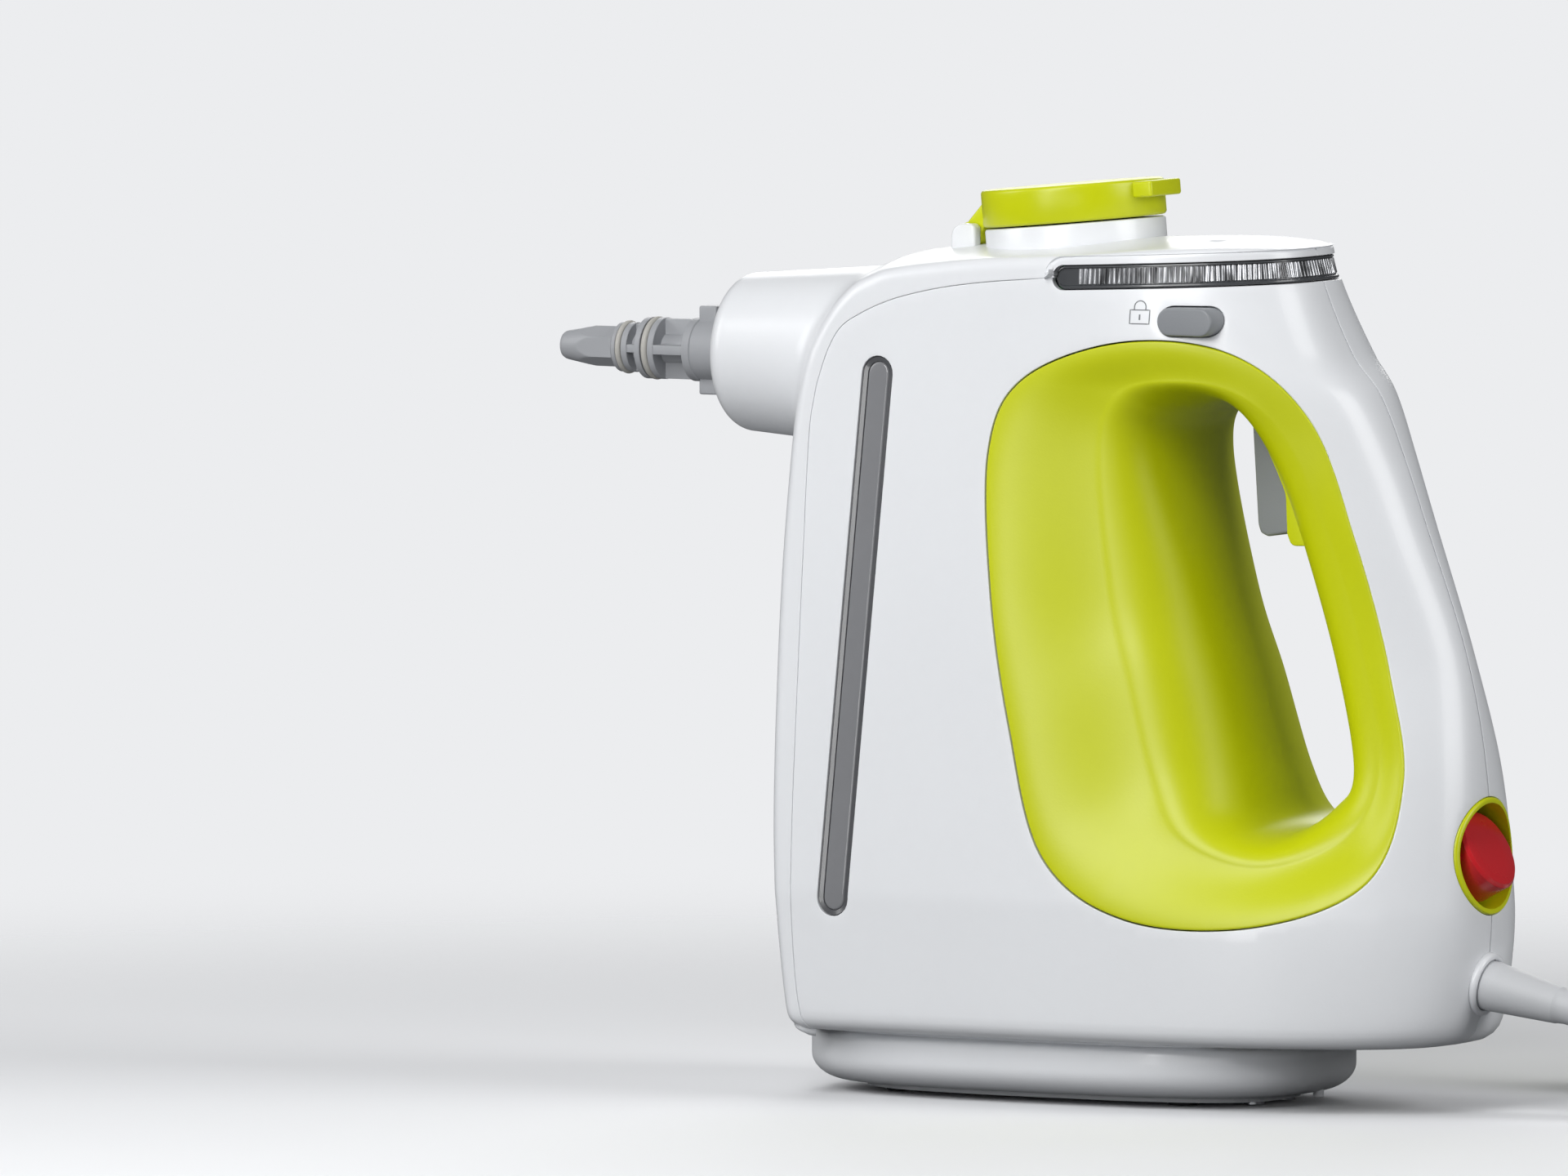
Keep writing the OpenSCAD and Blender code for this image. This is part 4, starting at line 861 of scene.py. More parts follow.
# %% Parting line and openings in the shells
FRONT_X = -77.0
SEAM_S = WRAP - 0.3
BAND_H = 6.7
BAND_X = 11.6
BAND_GAP = 0.3
FOOT_LINE = [(-62.5, 15.0), (-66.5, 26), (-68.6, 46), (-69.6, 81), (-69.6, 119), (-69.4, 157),
             (-69, 192), (-67.6, 204), (-66.2, 210), (-64, 216.5), (-61.5, 221.5), (-58.5, 225),
             (-53.5, 228), (-47, 231), (-39, 233.7), (-26, 236.6), (-11, 238.7), (4, 240.0), (12, 240.6)]
SWITCH_Z = 74.7
BEZEL_R = 17.0
RELIEF_R = 7.3
LOCK_AT = (55.0, 229.0)
LOCK_L, LOCK_H = 18.2, 8.2
WINDOW = ((-54.8, 53.5), (-46.0, 216.0))
WINDOW_W = 10.0


def band_low(x):
    return 236.8 + 0.04 * x


def offset_line(line, distance):
    """An open line moved to its right by a distance."""
    d = np.gradient(line, axis=0)
    d /= np.maximum(np.linalg.norm(d, axis=1), 1e-9)[:, None]
    return line + distance * np.stack([d[:, 1], -d[:, 0]], axis=1)


def band_end(gap, start, end, steps=14):
    """The rounded front end of the band's slot, between two angles in degrees."""
    r = BAND_H / 2
    centre = (BAND_X + r, band_low(BAND_X + r) + r)
    return np.array(arc(centre, r + gap, start, end, steps))


def band_edge(side, gap, steps=40):
    """The slot's lower (side 0) or upper (side 1) edge from its round end to the rear seam."""
    start = BAND_X + BAND_H / 2
    s = np.linspace(float(s_of(start, BAND_Z)), WRAP, steps)
    x = skin(s, BAND_Z)[:, 0]
    z = band_low(x) + (BAND_H + gap if side else -gap)
    return np.stack([s_of(x, z), z], axis=1)


def to_places(line):
    return np.stack([s_of(line[:, 0], line[:, 1]), line[:, 1]], axis=1)


def rear_arc(z, radius, steps=36):
    """A half circle on the left of the rear seam, from its top to its foot, as places."""
    a = np.radians(np.linspace(90, -90, steps))
    y, level = radius * np.cos(a), z + radius * np.sin(a)
    return np.stack([s_beside(y, level), level], axis=1)


def seam_arc(z, radius):
    """The same half circle with both its ends on the shell's own edge at the seam."""
    places = rear_arc(z, radius)
    places[[0, -1], 0] = SEAM_S
    return places


foot_line = np.array(through(FOOT_LINE, 6))
shell_front = offset_line(foot_line, LINE_GAP)
reach = band_end(BAND_GAP, 180, 270)
shell_front = shell_front[shell_front[:, 0] < reach[0, 0] - 0.3]
shell_low = PLINTH_TOP + ROLL - (ROLL * math.pi / 2 + 9.0)
shell_front = np.vstack([[[shell_front[0, 0] + 3, shell_low]], shell_front[shell_front[:, 1] > 17]])
slot_edge = band_edge(0, BAND_GAP)[1:]
slot_edge[-1, 0] = SEAM_S
shell_outline = spaced(np.vstack([
    shell_front,
    to_places(reach),
    slot_edge,
    seam_arc(SWITCH_Z, BEZEL_R + 0.25),
    seam_arc(CORD_Z, RELIEF_R + 1.0),
    [[SEAM_S, shell_low]],
]), 1.7)
grip_hole = to_places(outline_at(np.arange(336) * RIBS / 336, SEAM))


def obround(centre, length, height, steps=16):
    """A slot with round ends in (X, Z)."""
    r = height / 2
    w = length / 2 - r
    right = arc((centre[0] + w, centre[1]), r, -90, 90, steps)
    left = arc((centre[0] - w, centre[1]), r, 90, 270, steps)
    return np.array(right + left)


def window_loop(gap, steps=12):
    """The level window's outline in (X, Z), which leans with the housing's front."""
    low, high = (np.array(p) for p in WINDOW)
    r = WINDOW_W / 2 + gap
    lean = (high - low) / np.linalg.norm(high - low)
    across = np.array([lean[1], -lean[0]])
    a, b = low + lean * WINDOW_W / 2, high - lean * WINDOW_W / 2
    top = [b + r * (math.cos(t) * across + math.sin(t) * lean) for t in np.linspace(0, math.pi, steps)]
    foot = [a - r * (math.cos(t) * across + math.sin(t) * lean) for t in np.linspace(0, math.pi, steps)]
    return np.array(top + foot)


lock_hole = to_places(spaced(obround(LOCK_AT, LOCK_L + 0.8, LOCK_H + 0.8), 0.9))
window_hole = to_places(spaced(window_loop(0.25), 1.3))
print("the parting line has", len(shell_outline), "points")

# %% [markdown]
# The plinth below each shell is a swept profile: a shoulder under the housing's shelf, a straight
# side and a large rounding down to the closing plate.

# %% Plinth
PLINTH_L, PLINTH_W, PLINTH_N = 82.0, 45.0, 3.0
PLATE_TOP = 2.9
PLATE_INSET = 15.0
PLAN_STEPS = 120
PEG_AT = (75.0, 6.0)


def plinth_plan(inset):
    """Left half of the plinth's plan, from the front round the side to the rear."""
    a = np.linspace(0, math.pi, PLAN_STEPS)
    cos, sin = np.cos(a), np.sin(a)
    k = (np.abs(cos) ** PLINTH_N + np.abs(sin) ** PLINTH_N) ** (-1 / PLINTH_N)
    long, wide = PLINTH_L - inset, PLINTH_W - inset
    return np.stack([-long * cos * k, -wide * sin * k], axis=1)


def make_plinth():
    profile = [(4.0, PLINTH_TOP + 1.5), (2.2, PLINTH_TOP + 1.5), (2.2, 18.4), (1.0, 17.9), (0.25, 16.9),
               (0.0, 15.5), (0.0, PLATE_TOP + 8.0)]
    profile += [(10.5 - 10.5 * math.cos(a), PLATE_TOP + 8.0 - 8.0 * math.sin(a))
                for a in np.linspace(0.12, math.pi / 2, 13)]
    inner = PLATE_INSET + 1.2
    profile += [(inner, PLATE_TOP), (inner, PLATE_TOP + 2.1), (10.5, PLATE_TOP + 2.1), (5.0, 8.5),
                (4.0, PLINTH_TOP - 2)]
    plans = [np.column_stack([plinth_plan(inset), np.full(PLAN_STEPS, z)]) for inset, z in profile]
    rings = np.stack(plans, axis=1)
    return make("plinth", rings.reshape(-1, 3), strip_faces(PLAN_STEPS, len(profile)), sharp=40)


# %% Collar round the strain relief
def cord_place(points):
    """From the cord's own frame, whose Z runs out along it, to the housing's."""
    points = np.asarray(points, float)
    side = np.array([0, 1.0, 0])
    up = np.cross(exit_way, side)
    return cord_root - points[:, :1] * up + points[:, 1:2] * side + points[:, 2:] * exit_way


def make_collar(steps=49):
    """Half a rounded ring on the left of the middle plane."""
    inner, outer = RELIEF_R + 0.2, RELIEF_R + 2.05
    profile = [(inner, -4.0), (inner, 0.9)]
    profile += arc((inner + 0.6, 0.9), 0.6, 180, 90, 4)[1:]
    profile += arc((outer - 1.1, 0.4), 1.1, 90, 0, 6)
    profile += [(outer, -4.0)]
    turns = np.radians(np.linspace(180, 360, steps))
    points = [(r * math.cos(a), r * math.sin(a), h) for a in turns for r, h in profile]
    return make("collar", cord_place(points), strip_faces(steps, len(profile)), sharp=40)


# %% Wells for the case screws
PILLARS = [(115, 146), (98, 34), (86, 213.5), (4, 62)]
WELL_R = 3.5
SCREW_Y = 10.0


def well_hole(x, z):
    return to_places(np.array(arc((x, z), WELL_R, 0, 345, 24)))


def make_well(x, z, steps=32):
    """The round well that leads from the skin down to a screw's head."""
    a = np.linspace(0, 2 * math.pi, steps, endpoint=False)
    rows = []
    for r, low, inset in ((WELL_R, 0, 0.3), (WELL_R, 1, 0), (WELL_R + 0.5, 1, 0), (WELL_R + 0.5, 0, 0.8)):
        px, pz = x + r * np.cos(a), z + r * np.sin(a)
        y = np.full(steps, -SCREW_Y) if low else inset - depth(px, pz)
        rows.append(np.stack([px, y, pz], axis=1))
    grid = np.stack(rows, axis=1)
    faces = grid_faces(steps, len(rows), wrap_rows=True, wrap_columns=True)
    return make("well", grid.reshape(-1, 3), faces, sharp=40)


# %% Shells
def make_shell(name, holes, *extras):
    body = moulding(name, shell_outline, holes, skin)
    return join(name, body, make_plinth(), make_collar(), *extras)


left_shell = carry(make_shell("left_housing", [grip_hole, lock_hole, window_hole]), "housing",
                   "white_shell", WHITE, "left_shell")
peg = turned("peg", [(0, 1.5), (1.1, 1.5), (1.5, 1.8), (1.6, 2.3), (1.6, 4.5), (0, 4.5)], 32,
             lambda p: np.asarray(p) + [PEG_AT[0], -PEG_AT[1], 0], sharp=40)
wells = [make_well(x, z) for x, z in PILLARS]
right_holes = [grip_hole, lock_hole] + [well_hole(x, z) for x, z in PILLARS]
right_base = make_shell("right_base", right_holes, peg, *wells)
right_shell = mirrored(right_base, "right_housing")
bpy.data.objects.remove(right_base)
carry(right_shell, "housing", "white_shell", WHITE, "right_shell")
print("the left shell has", len(left_shell.data.polygons), "faces")

# %% [markdown]
# ## The front and top cover
# A row of stations runs from the cover's foot up the front, over the brow and along the top to the
# rear. Each station has the flange's foot, the cover's edge and a place on the middle line. The
# cross section between them is a flange on the skin, a rounded edge and a crowned web.

# %% Cover stations
CROWN = 11.0
BROW = [(8, 20.4, 0, 20.4), (5.6, 26, 0, 26), (3, 48, 0, 48), (0.6, 81, 0, 81), (0, 119, 0, 119),
        (0.5, 157, 0, 157), (2.5, 193, 0, 194), (4.1, 206.5, 0.4, 207.5), (6.4, 215.8, 0.8, 217.5),
        (9, 221.6, 1.5, 224), (12.7, 227.5, 2.3, 230.5), (16, 231.7, 3.2, 235.5), (20.6, 236, 5.9, 240.6),
        (26, 238.7, 7, 243.5), (32.6, 241, 8.4, 245.8)]
TOP_LINE = [(-26, 243.7, 248.0), (-11, 245.3, 249.0), (4, 246.3, 249.9), (11, 246.8, 250.25),
            (17, 247.2, 250.6)]
REAR_END = [(40, 248.6, 36, 251.5), (62.5, 249.6, 50, 252), (82, 249.8, 57, 251.9),
            (100, 249.7, 60.5, 251.7), (120, 249.6, 62.5, 251.6), (WRAP, 249.5, 63.5, 251.5)]

edge_rows = [(FRONT_X + dx, z) for dx, z, _, _ in BROW] + [(x, z) for x, z, _ in TOP_LINE]
edge_rows = [(float(s_of(x, z)), z) for x, z in edge_rows] + [(s, z) for s, z, _, _ in REAR_END]
web_rows = [(FRONT_X + dx - CROWN + less, z) for dx, _, less, z in BROW]
web_rows += [(x, z) for x, _, z in TOP_LINE] + [(x, z) for _, _, x, z in REAR_END]
LAST_ROW = len(edge_rows) - 1
END_ROW = len(FOOT_LINE) - 1


def row_at(rows, tau):
    """A place between the stations, on the smooth curve through them."""
    p = np.asarray(rows, float)
    last = len(p) - 1
    tau = np.clip(tau, 0, last)
    i = np.minimum(np.floor(tau).astype(int), last - 1)
    a, d = p[np.maximum(i - 1, 0)], p[np.minimum(i + 2, last)]
    return between(a, p[i], p[i + 1], d, (tau - i)[..., None])


def foot_at(tau):
    """The flange's foot: along the parting line, round the band's end and along its upper edge."""
    line = to_places(offset_line(row_at(FOOT_LINE, np.minimum(tau, END_ROW)), -LINE_GAP))
    r = BAND_H / 2
    centre = (BAND_X + r, band_low(BAND_X + r) + r)
    a = np.radians(180 - 90 * np.clip(tau - END_ROW, 0, 1))
    out = r + BAND_GAP
    round_end = np.stack([centre[0] + out * np.cos(a), centre[1] + out * np.sin(a)], axis=1)
    s = row_at(edge_rows, np.maximum(tau, END_ROW + 1))[:, 0]
    first = float(s_of(centre[0], BAND_Z))
    k = np.clip(tau - END_ROW - 1, 0, 1)
    s = np.where(tau < END_ROW + 2, first + (s - first) * k, s)
    x = skin(s, BAND_Z)[:, 0]
    upper = np.stack([s, band_low(x) + BAND_H + BAND_GAP], axis=1)
    lower = np.where((tau <= END_ROW)[:, None], line, to_places(round_end))
    return np.where((tau > END_ROW + 1)[:, None], upper, lower)


def cover_web(e, c, v):
    """A point of the web, v from the edge e (0) to the middle line (1)."""
    edge = skin(e[:, 0], e[:, 1])
    k = v * (2 - v)
    return np.stack([edge[:, 0] + (c[:, 0] - edge[:, 0]) * k, edge[:, 1] * (1 - v),
                     edge[:, 2] + (c[:, 1] - edge[:, 2]) * k], axis=1)


EDGE_R = 3.6
taus = np.unique(np.concatenate([
    np.linspace(0.25, END_ROW, 150), END_ROW + np.linspace(0, 1, 12), END_ROW + 1 + np.linspace(0, 1, 14),
    np.linspace(END_ROW + 2, LAST_ROW, 80)]))
foot, edge, web = foot_at(taus), row_at(edge_rows, taus), row_at(web_rows, taus)
to_foot = foot - edge
length = np.linalg.norm(to_foot, axis=1)[:, None]
near = edge + to_foot * np.minimum(0.55, EDGE_R / length)
toward = (near - foot) / np.linalg.norm(near - foot, axis=1)[:, None]
columns = [skin(foot[:, 0], foot[:, 1], 3.0)]
for a in np.linspace(math.pi / 2, 0, 5):
    place = foot + toward * LINE_EDGE * (1 - math.sin(a))
    columns.append(skin(place[:, 0], place[:, 1], LINE_EDGE * (1 - math.cos(a))))
for k in np.linspace(0.15, 1, 6):
    place = foot + toward * LINE_EDGE + (near - foot - toward * LINE_EDGE) * k
    columns.append(skin(place[:, 0], place[:, 1]))
steep = np.linalg.norm(cover_web(edge, web, 0.02) - cover_web(edge, web, 0.0), axis=1) / 0.02
V0 = np.clip(EDGE_R / steep, 0.02, 0.25)
start, corner, end = columns[-1], skin(edge[:, 0], edge[:, 1]), cover_web(edge, web, V0)
for k in np.linspace(0, 1, 9)[1:]:
    columns.append(bend(start, corner, end, k))
for k in np.linspace(0, 1, 19)[1:]:
    columns.append(cover_web(edge, web, V0 + (1 - V0) * k))
left_half = np.stack(columns, axis=1)
right_half = (left_half * [1, -1, 1])[:, -2::-1]
outer = np.concatenate([left_half, right_half], axis=1)

# the foot rolls under, and the inner face lies a wall inside the outer one
across = np.gradient(outer, axis=1)
normal = np.cross(across, np.gradient(outer, axis=0))
normal /= np.linalg.norm(normal, axis=2)[..., None]
if (normal[len(taus) // 4, outer.shape[1] // 2] @ [-1, 0, 0]) < 0:
    normal = -normal
first = outer[0]
level = normal[0] * [1, 1, 0]
level /= np.linalg.norm(level, axis=1)[:, None]
roll = [first - level * 2.2 * (1 - math.cos(a)) - np.array([0, 0, 2.2]) * math.sin(a)
        for a in np.radians([80, 60, 40, 20])]
inner = outer[:, 1:-1] - normal[:, 1:-1] * WALL
face = np.concatenate([np.stack(roll), outer])
count, wide, deep = face.shape[1], len(face), len(inner)
points = np.concatenate([face.reshape(-1, 3), inner.reshape(-1, 3)])
faces = grid_faces(wide, count)
base = wide * count
narrow = count - 2
faces += [tuple(reversed(f)) for f in grid_faces(deep, narrow, first=base)]
for i in range(deep - 1):
    a, b = (i + 4) * count, (i + 5) * count
    c, d = base + i * narrow, base + (i + 1) * narrow
    faces += [(a, b, d, c), (a + count - 1, c + narrow - 1, d + narrow - 1, b + count - 1)]
for j in range(narrow - 1):
    faces.append((1 + j, base + j, base + j + 1, 2 + j))
    faces.append(((wide - 1) * count + 1 + j, (wide - 1) * count + 2 + j,
                  base + (deep - 1) * narrow + j + 1, base + (deep - 1) * narrow + j))
cover = make("cover", points, faces, sharp=50)
# make takes this hollow form's inner side for its outside, and the cuts below need it right
cover.data.flip_normals()
print("the cover has", len(cover.data.polygons), "faces")

# %% [markdown]
# The snout is turned round the nozzle's axis. A fillet, found by rays from the front, leads from
# the snout onto the cover. The filler's collar and the two hinge ears stand on the cover's top.

# %% Snout, collar and ears
NOZZLE_Z = 213.3
SNOUT_X, SNOUT_R, SNOUT_BORE = 115.0, 23.3, 20.5
SNOUT_REAR = 62.0
FLARE = math.tan(math.radians(4.5))
CAP_AT = np.array([-3.0, 0, 254.8])
CAP_TILT = math.radians(5.3)
CAP_R = 26.8
HINGE = (-34.2, 250.0)
EAR_Y = 7.5
DIMPLE_X, DIMPLE_Y = 53.6, 16.7


def along_x(points):
    """From (across, across, along) points to the housing's frame, where along runs from the snout's rim."""
    p = np.asarray(points, float)
    return np.stack([p[:, 2] - SNOUT_X, p[:, 0], p[:, 1] + NOZZLE_Z], axis=1)


def cap_place(points):
    """From the cap's own frame, which leans with the cap, to the housing's."""
    p = np.asarray(points, float)
    cos, sin = math.cos(CAP_TILT), math.sin(CAP_TILT)
    return CAP_AT + np.stack([p[:, 0] * cos - p[:, 2] * sin, p[:, 1], p[:, 0] * sin + p[:, 2] * cos], axis=1)


def snout_r(x):
    """The snout's radius at a distance behind its rim."""
    return SNOUT_R + (x - 6) * FLARE


rim = [(SNOUT_R - 6 + 6 * math.cos(a), 6 - 6 * math.sin(a)) for a in np.radians(np.linspace(54, 0, 12))]
profile = [(0, 23.0), (SNOUT_BORE - 0.4, 23.0), (SNOUT_BORE - 0.1, 22.7), (SNOUT_BORE - 0.1, 1.7),
           (SNOUT_BORE, 1.35), (SNOUT_BORE + 0.25, 1.12)] + rim
profile += [(snout_r(x), x) for x in np.linspace(8, SNOUT_X - SNOUT_REAR, 12)]
profile += [(0, SNOUT_X - SNOUT_REAR)]
snout = turned("snout", profile, 160, along_x, sharp=45)

bm = bmesh.new()
bm.from_mesh(cover.data)
front = BVHTree.FromBMesh(bm)


def cover_x(y, z):
    """X of the cover's front at a height, in millimetres."""
    hit = front.ray_cast(Vector((-0.3, y * MM, z * MM)), Vector((1, 0, 0)))[0]
    return hit.x / MM if hit else -SNOUT_REAR


def make_fillet(radius, steps=10, turns=180):
    rings = []
    for a in np.linspace(0, 2 * math.pi, turns, endpoint=False):
        c, s = math.cos(a), math.sin(a)
        x = -80.0
        for _ in range(12):
            r = snout_r(x + SNOUT_X)
            x = 0.5 * x + 0.5 * cover_x(r * c, NOZZLE_Z + r * s)
        r0 = snout_r(x - radius + SNOUT_X)
        r1 = r + radius
        p0 = np.array([x - radius, r0 * c, NOZZLE_Z + r0 * s])
        p1 = np.array([x, r * c, NOZZLE_Z + r * s])
        p2 = np.array([cover_x(r1 * c, NOZZLE_Z + r1 * s), r1 * c, NOZZLE_Z + r1 * s])
        outward = np.array([0, c, s]) * 0.05
        rings.append([bend(p0, p1, p2, k) + outward * (1 - k) - [0.03 * k, 0, 0]
                      for k in np.linspace(0, 1, steps)])
    rings = np.array(rings)
    for _ in range(2):
        rings = (np.roll(rings, 1, axis=0) + 2 * rings + np.roll(rings, -1, axis=0)) / 4
    return make("fillet", rings.reshape(-1, 3), grid_faces(turns, steps, wrap_rows=True), sharp=60)


fillet = make_fillet(6.0)

collar_r = CAP_R - 0.4
neck_collar = turned("neck_collar", [
    (19.3, -9.0), (19.3, -0.9), (19.8, -0.45), (collar_r - 0.8, -0.45), (collar_r - 0.25, -0.65),
    (collar_r, -1.2), (collar_r, -9.0)], 128, cap_place, sharp=45)


def prism(name, outline, y0, y1, width=0.8, segments=3):
    """A plate along Y with an outline in (X, Z) and rounded edges."""
    points = [(x, y, z) for y in (y0, y1) for x, z in outline]
    return rounded(make(name, points, prism_faces(len(outline))), width, segments)


def block(name, place, low, high, width, segments):
    """A block with rounded edges between two corners; place moves it where it goes."""
    xs, ys, zs = zip(low, high)
    points = place([(x, y, z) for x in xs for y in ys for z in zs])
    faces = [(0, 1, 3, 2), (4, 6, 7, 5), (0, 4, 5, 1), (2, 3, 7, 6), (0, 2, 6, 4), (1, 5, 7, 3)]
    return rounded(make(name, points, faces), width, segments)


def make_ear(side):
    x, z = HINGE
    top = [(x + 4, z + 2.6), (x + 3, z + 3.6)] + arc((x, z - 0.4), 4.0, 90, 180, 12)
    outline = top + [(x - 4, z - 6), (x + 4, z - 6)]
    y0 = EAR_Y if side > 0 else -EAR_Y - 4
    return prism("ear", outline, y0, y0 + 4, 0.9)


def make_dimple(side):
    """A ball that cuts a shallow round dish into the cover's top."""
    x, y, r, deep = DIMPLE_X, side * DIMPLE_Y, 3.5, 0.7
    hit = front.ray_cast(Vector((x * MM, y * MM, 0.3)), Vector((0, 0, -1)))[0]
    ball = (r * r + deep * deep) / (2 * deep)
    sphere = bmesh.new()
    centre = Vector((x * MM, y * MM, hit.z + (ball - deep) * MM))
    bmesh.ops.create_uvsphere(sphere, u_segments=64, v_segments=64, radius=ball * MM,
                              matrix=Matrix.Translation(centre))
    for face in sphere.faces:
        face.smooth = True
    mesh = bpy.data.meshes.new("dimple")
    sphere.to_mesh(mesh)
    sphere.free()
    tool = bpy.data.objects.new("dimple", mesh)
    scene.collection.objects.link(tool)
    return tool


cover = cut(cover, make_dimple(-1), make_dimple(1))
bm.free()
spine = join("front_cover", cover, snout, fillet, neck_collar, make_ear(-1), make_ear(1))
carry(spine, "housing", "white_shell", WHITE, "spine_cover")
print("the front cover has", len(spine.data.polygons), "faces")

# %% [markdown]
# ## Copies on points
# Ribs and feet repeat. One node tree puts a piece on every point of a mesh, turned by the
# point's own angles and by a small random part, and makes the result real with its material.

# %% Geometry nodes for copies
def copies_group():
    tree = bpy.data.node_groups.new("copies", "GeometryNodeTree")
    names = {}
    for label, kind in (("Points", "NodeSocketGeometry"), ("Piece", "NodeSocketObject"),
                        ("Wobble", "NodeSocketFloat"), ("Seed", "NodeSocketInt"),
                        ("Material", "NodeSocketMaterial")):
        names[label] = tree.interface.new_socket(name=label, in_out="INPUT", socket_type=kind).identifier
    tree.interface.new_socket(name="Geometry", in_out="OUTPUT", socket_type="NodeSocketGeometry")
    given, result = tree.nodes.new("NodeGroupInput"), tree.nodes.new("NodeGroupOutput")
    link = tree.links.new
    piece = tree.nodes.new("GeometryNodeObjectInfo")
    link(given.outputs["Piece"], piece.inputs["Object"])
    own = tree.nodes.new("GeometryNodeInputNamedAttribute")
    own.data_type = "FLOAT_VECTOR"
    own.inputs["Name"].default_value = "turn"
    chance = tree.nodes.new("FunctionNodeRandomValue")
    chance.data_type = "FLOAT"
    chance.inputs[2].default_value = -1.0
    chance.inputs[3].default_value = 1.0
    link(given.outputs["Seed"], chance.inputs["Seed"])
    wobble = tree.nodes.new("ShaderNodeMath")
    wobble.operation = "MULTIPLY"
    link(chance.outputs[1], wobble.inputs[0])
    link(given.outputs["Wobble"], wobble.inputs[1])
    about_z = tree.nodes.new("ShaderNodeCombineXYZ")
    link(wobble.outputs[0], about_z.inputs["Z"])
    total = tree.nodes.new("ShaderNodeVectorMath")
    link(own.outputs[0], total.inputs[0])
    link(about_z.outputs[0], total.inputs[1])
    spread = tree.nodes.new("GeometryNodeInstanceOnPoints")
    link(given.outputs["Points"], spread.inputs["Points"])
    link(piece.outputs["Geometry"], spread.inputs["Instance"])
    link(total.outputs[0], spread.inputs["Rotation"])
    real = tree.nodes.new("GeometryNodeRealizeInstances")
    link(spread.outputs["Instances"], real.inputs["Geometry"])
    paint = tree.nodes.new("GeometryNodeSetMaterial")
    link(real.outputs["Geometry"], paint.inputs["Geometry"])
    link(given.outputs["Material"], paint.inputs["Material"])
    link(paint.outputs["Geometry"], result.inputs["Geometry"])
    return tree, names


COPIES, COPY_SOCKETS = copies_group()


def copies(name, piece, points, turns, material, wobble=0.0, seed=1):
    """One mesh of the piece at every point; the piece itself is removed."""
    mesh = bpy.data.meshes.new(name)
    mesh.from_pydata((np.asarray(points, float) * MM).tolist(), [], [])
    turn = mesh.attributes.new("turn", "FLOAT_VECTOR", "POINT")
    turn.data.foreach_set("vector", np.asarray(turns, float).ravel())
    obj = bpy.data.objects.new(name, mesh)
    scene.collection.objects.link(obj)
    modifier = obj.modifiers.new("copies", "NODES")
    modifier.node_group = COPIES
    for label, value in (("Piece", piece), ("Wobble", wobble), ("Seed", seed), ("Material", material)):
        modifier[COPY_SOCKETS[label]] = value
    result = applied(obj)
    result.name = name
    obj.modifiers.clear()
    obj.data = result
    bpy.data.objects.remove(piece)
    return obj


# %% [markdown]
# ## The light band
# A clear moulding with fine upright ribs lies in the slot under the cover. It runs from the left
# side round the rear to the right side. Each rib is tilted a little differently, so that each
# mirrors another part of the room.

# %% Light band
RIB_PITCH = 1.57
BAND_BODY_T = 1.0
BAND_T_IN = 4.0


def clear_moulding(name, tone, roughness, metallic, reflection_stripe_scale):
    """Clear moulded plastic over a bright foil; painted reflection stripes, bright and dark, run along it in
    its colour.
    """
    material = plastic(name, tone, roughness, 0.1, 0.1, 900.0, 0.05, Metallic=metallic)
    tree = material.node_tree
    shader = tree.nodes["Principled BSDF"]
    # painted reflection: noise stretched along the height makes upright stripes that darken the colour down
    # to 0.12 of it, as bright and dark rib reflections
    stretch = tree.nodes.new("ShaderNodeMapping")
    stretch.inputs["Scale"].default_value = (1.0, 1.0, 0.15)
    tree.links.new(tree.nodes.new("ShaderNodeTexCoord").outputs["Object"], stretch.inputs["Vector"])
    painted_reflection_stripes = noise(tree, stretch.outputs["Vector"], reflection_stripe_scale, 3.0)
    ramp = tree.nodes.new("ShaderNodeMapRange")
    ramp.inputs["From Min"].default_value = 0.36
    ramp.inputs["From Max"].default_value = 0.64
    ramp.inputs["To Min"].default_value = 0.12
    tree.links.new(painted_reflection_stripes, ramp.inputs["Value"])
    painted_stripe_tone = tree.nodes.new("ShaderNodeVectorMath")
    painted_stripe_tone.operation = "SCALE"
    tree.links.new(shader.inputs["Base Color"].links[0].from_socket, painted_stripe_tone.inputs[0])
    tree.links.new(ramp.outputs["Result"], painted_stripe_tone.inputs["Scale"])
    tree.links.new(painted_stripe_tone.outputs[0], shader.inputs["Base Color"])
    return material


# the last number sets the size of the painted reflection stripes
LIGHT_BAR = clear_moulding("light_bar", srgb(232, 234, 238), 0.16, 0.55, 420.0)
BAR_EDGE = plastic("light_bar_edge", srgb(70, 72, 75), 0.25, 0.08, 0.1, 1200.0, 0.08, Coat_Weight=0.3)


def band_places(steps=150):
    """Places along the band's middle at even steps, from its round end to the seam."""
    s = np.linspace(float(s_of(BAND_X + 1.0, BAND_Z)), WRAP, 600)
    x = skin(s, BAND_Z)[:, 0]
    z = band_low(x) + BAND_H / 2
    line = skin(s, z)
    run = np.concatenate([[0], np.cumsum(np.linalg.norm(np.diff(line, axis=0), axis=1))])
    even = np.linspace(0, run[-1], steps)
    return np.interp(even, run, s), run[-1]


